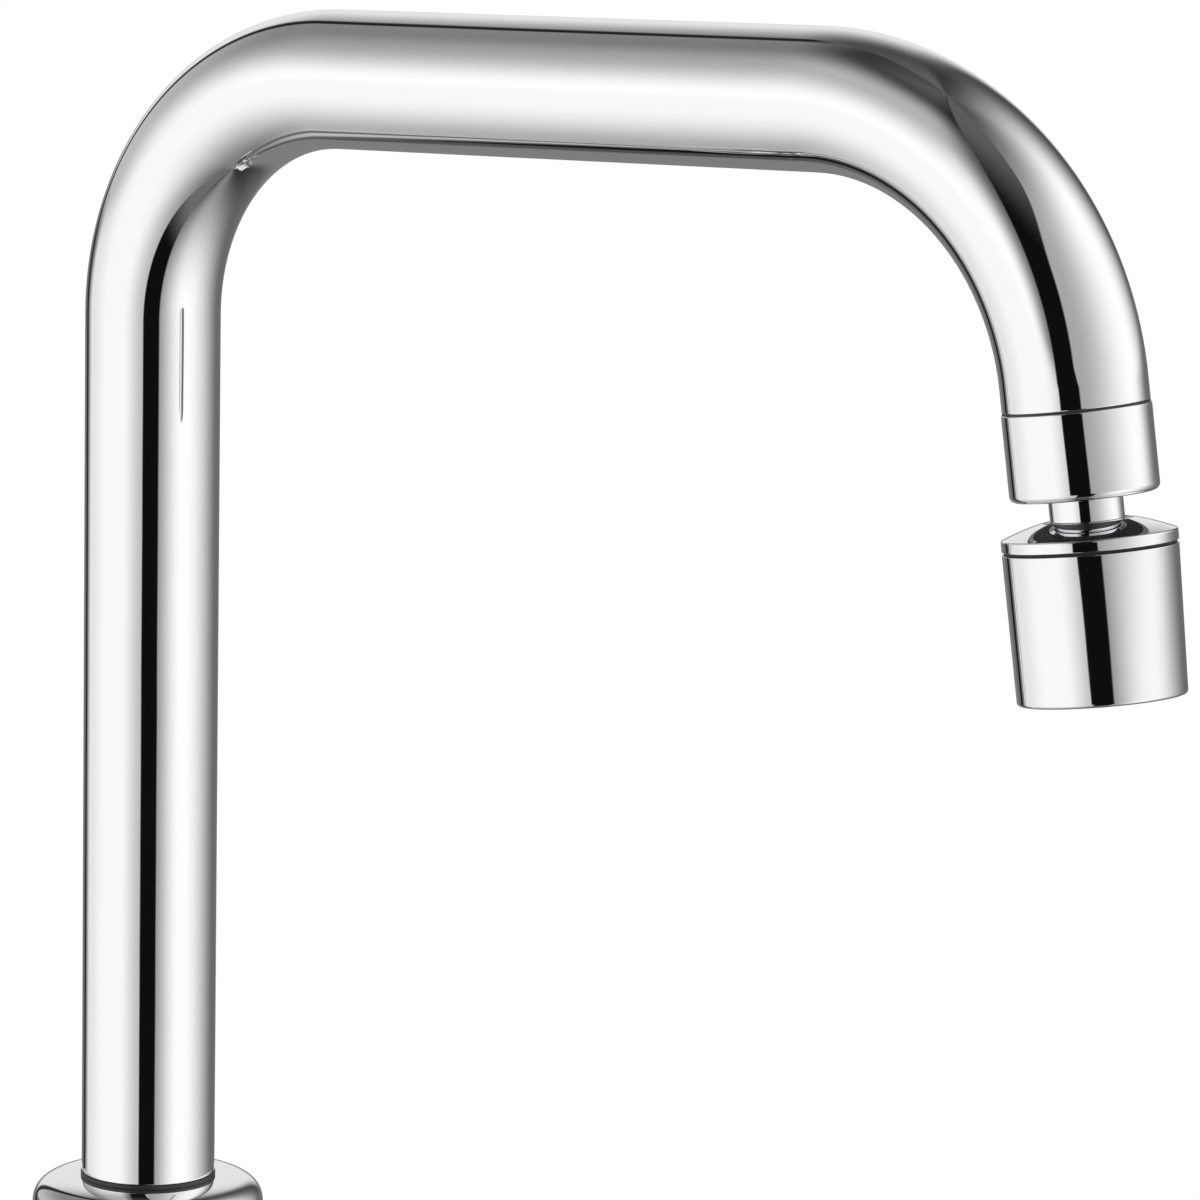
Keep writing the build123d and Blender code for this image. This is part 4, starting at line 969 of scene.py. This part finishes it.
def camera_directions():
    """Right, up and back of the camera from its azimuth, pitch and roll."""
    side, pitch, roll = np.radians([CAMERA_AZIMUTH, CAMERA_PITCH, CAMERA_ROLL])
    back = np.array([math.sin(side) * math.cos(pitch), -math.cos(side) * math.cos(pitch), math.sin(pitch)])
    right = np.array([math.cos(side), math.sin(side), 0.0])
    above = np.cross(back, right)
    cos, sin = math.cos(roll), math.sin(roll)
    return cos * right + sin * above, cos * above - sin * right, back


def stand(thing, directions, place):
    """Links a camera or lamp and puts it at a place in metres, with its right, up and back directions."""
    matrix = np.eye(4)
    matrix[:3, :3] = np.stack(directions, 1)
    matrix[:3, 3] = place
    thing.matrix_world = Matrix(matrix.tolist())
    bpy.context.scene.collection.objects.link(thing)


camera_data = bpy.data.cameras.new("camera")
camera_data.sensor_width, camera_data.clip_end = SENSOR, FAR_END
camera_data.lens = FOCAL_PIXELS / FRAME_PIXELS * SENSOR
camera = bpy.data.objects.new("camera", camera_data)
stand(camera, camera_directions(), CAMERA_PLACE * MM)
bpy.context.scene.camera = camera
print("lens", round(camera_data.lens, 1), "mm, camera at", CAMERA_PLACE)

# %% [markdown]
# ## The studio
# A product photographer lights chrome with two large soft panels, one on each side, and leaves a dark gap
# between them. The gap draws the black line down each curved side, and the panels' fading edges give the
# metal its greys. The world below is that studio as a function of direction only. Each panel is a product of
# slopes: one along the angle round the tap, one along the height above the horizon. The floor in front
# reflects the panels too, so everything below the horizon has slopes of its own. A narrow dark seam stands
# behind on the left, where two walls would meet, and straight above the ceiling glows faintly.

# %% Studio as a world
PANEL_LIGHT, ROOM_LIGHT = 1.1, 0.72


def panels(angle, height):
    """Brightness of the two panels and of the walls behind and above them. Both angles are in degrees: the
    first to the right of the way to the camera, the second above the horizon."""
    above = height.rise(-3, 4)
    right_low = angle.rise(5, 56, 0.25, 1) * angle.rise(62, 145, 1, 0.14)
    right_high = angle.rise(5, 98, 0.38, 1) * angle.rise(100, 160, 1, 0.07)
    left_low = 0.95 * angle.rise(-50, -12, 1, 0.55) * angle.rise(-118, -80, 0.82, 1)
    left_low = left_low * angle.rise(-139, -122, 0.17, 1)
    left_high = angle.rise(-50, -28, 1, 0.2) * angle.rise(-130, -75, 0.5, 1)
    to_floor = height.rise(-85, -15, 0.22, 1)
    right_up = height.rise(40, 88, 1, 0.05)
    left_up = height.rise(5, 42, 1, 0.45) * height.rise(44, 70, 1, 0.1)
    right = (right_low * to_floor).blend(right_high * right_up, above)
    left = (left_low * to_floor).blend(left_high * left_up, above)
    behind = 1 - angle.rise(-158, -153) * angle.rise(160, 173, 1, 0)
    back_wall = 0.2 + (height.rise(18, 58, 0.75, 0.07) - 0.2) * above
    light = left.blend(right, angle.rise(-9, -3)).blend(back_wall, behind)
    seam = angle + height.rise(-10, 6, 142, 151)
    dark = 0.93 * seam.rise(-6, -2) * seam.rise(2, 5, 1, 0) * height.rise(50, 60, 1, 0)
    return light * (1 - dark) + height.rise(60, 85, 0, 0.045)


def studio(net):
    """Brightness from the ray's direction, with the dark gap cut between the panels."""
    ray = net.add("ShaderNodeTexCoord", out="Generated")
    front = math.radians(CAMERA_AZIMUTH)
    facing, right = (math.sin(front), -math.cos(front), 0.0), (math.cos(front), math.sin(front), 0.0)
    to_front, to_right = (net.add("ShaderNodeVectorMath", {0: ray, 1: way}, "Value", operation="DOT_PRODUCT")
                          for way in (facing, right))
    angle = to_right.math("ARCTAN2", to_front) * math.degrees(1)
    height = net.add("ShaderNodeSeparateXYZ", {0: ray}, "Z").math("ARCSINE") * math.degrees(1)
    from_left = angle + height.rise(-7, -0.5, 13, 28.5)
    from_right = angle + height.rise(-4, 7, -14.5, 0.5) - height.rise(26, 58, 0, 15)
    gap = from_left.rise(-1.2, 1.2) * from_right.rise(-1.5, 1.5, 1, 0)
    dark = height.rise(-60, -36, 0.144, 0.004) + height.rise(28, 70, 0, 0.1)
    return panels(angle, height).blend(dark, gap)


world = bpy.data.worlds.new("studio")
bpy.context.scene.world = world
world.use_nodes = True
net = Net(world.node_tree)
tent = studio(net)
from_camera, glossy, through = (net.add("ShaderNodeLightPath", out=f"Is {kind} Ray")
                                for kind in ("Camera", "Glossy", "Transmission"))
seen = (from_camera + glossy + through).math("MINIMUM", 1.0)
strength = from_camera + (glossy + through) * (PANEL_LIGHT * tent) + (1 - seen) * ROOM_LIGHT
sky = net.add("ShaderNodeBackground", {"Color": (1, 1, 1, 1), "Strength": strength})
net.finish(sky, "ShaderNodeOutputWorld")
print("the studio has", len(world.node_tree.nodes), "nodes")

# %% [markdown]
# ## Lamps and floor
# Only mirrors see the panels. The camera sees white round the tap, and the dull pieces and the floor are lit
# by an even room light and by two large soft lamps that mirrors don't show. The floor is a pale disc that
# fades out with distance. Mirrors look through it, because the studio's lower half is already the floor that
# they show, and so does a view from below, which would see nothing else.

# %% Lamps and floor
TAP_MIDDLE = np.array([0.0, -0.1, 0.2])
FLOOR_R, FLOOR_STEPS, FLOOR_GAP = 900.0, 128, 0.1


def soft_lamp(name, place, size, watts):
    """A large square lamp, placed in metres and aimed at the middle of the tap."""
    data = bpy.data.lights.new(name, "AREA")
    data.size, data.energy = size, watts
    lamp = bpy.data.objects.new(name, data)
    lamp.visible_glossy = False
    back = unit(place - TAP_MIDDLE)
    side = unit(np.cross((0, 0, 1), back))
    stand(lamp, (side, np.cross(back, side), back), place)


soft_lamp("key", (-1.2, -0.6, 1.6), 1.2, 14.0)
soft_lamp("fill", (1.3, -1.0, 1.0), 1.4, 7.0)
FLOOR_Z = float(min(cad_box[0][2], cad_box[1][2])) / MM - FLOOR_GAP
floor_edge = np.array([(*point, FLOOR_Z) for point in arc((0, 0), FLOOR_R, 0, 360, FLOOR_STEPS)[:-1]])
floor = new_object("floor", floor_edge, [list(range(FLOOR_STEPS))])
material, net, place = new_finish("pale_floor")
far = net.add("ShaderNodeVectorMath", {0: place}, "Value", operation="LENGTH").rise(0.3, 0.8)
from_below = net.add("ShaderNodeNewGeometry", out="Backfacing")
mirrored = net.add("ShaderNodeLightPath", out="Is Glossy Ray")
hidden = far.math("MAXIMUM", from_below).math("MAXIMUM", mirrored)
white = net.add("ShaderNodeBsdfDiffuse", {"Color": (0.93, 0.93, 0.93, 1)})
net.finish(net.add("ShaderNodeMixShader", {0: hidden, 1: white, 2: net.add("ShaderNodeBsdfTransparent")}))
floor.data.materials.append(material)
print("floor at", round(FLOOR_Z, 2), "mm")

# %% [markdown]
# ## Finish
# The view is plain, so that white is white and the metal's tones aren't bent.

# %% View
bpy.context.scene.view_settings.view_transform = "Standard"
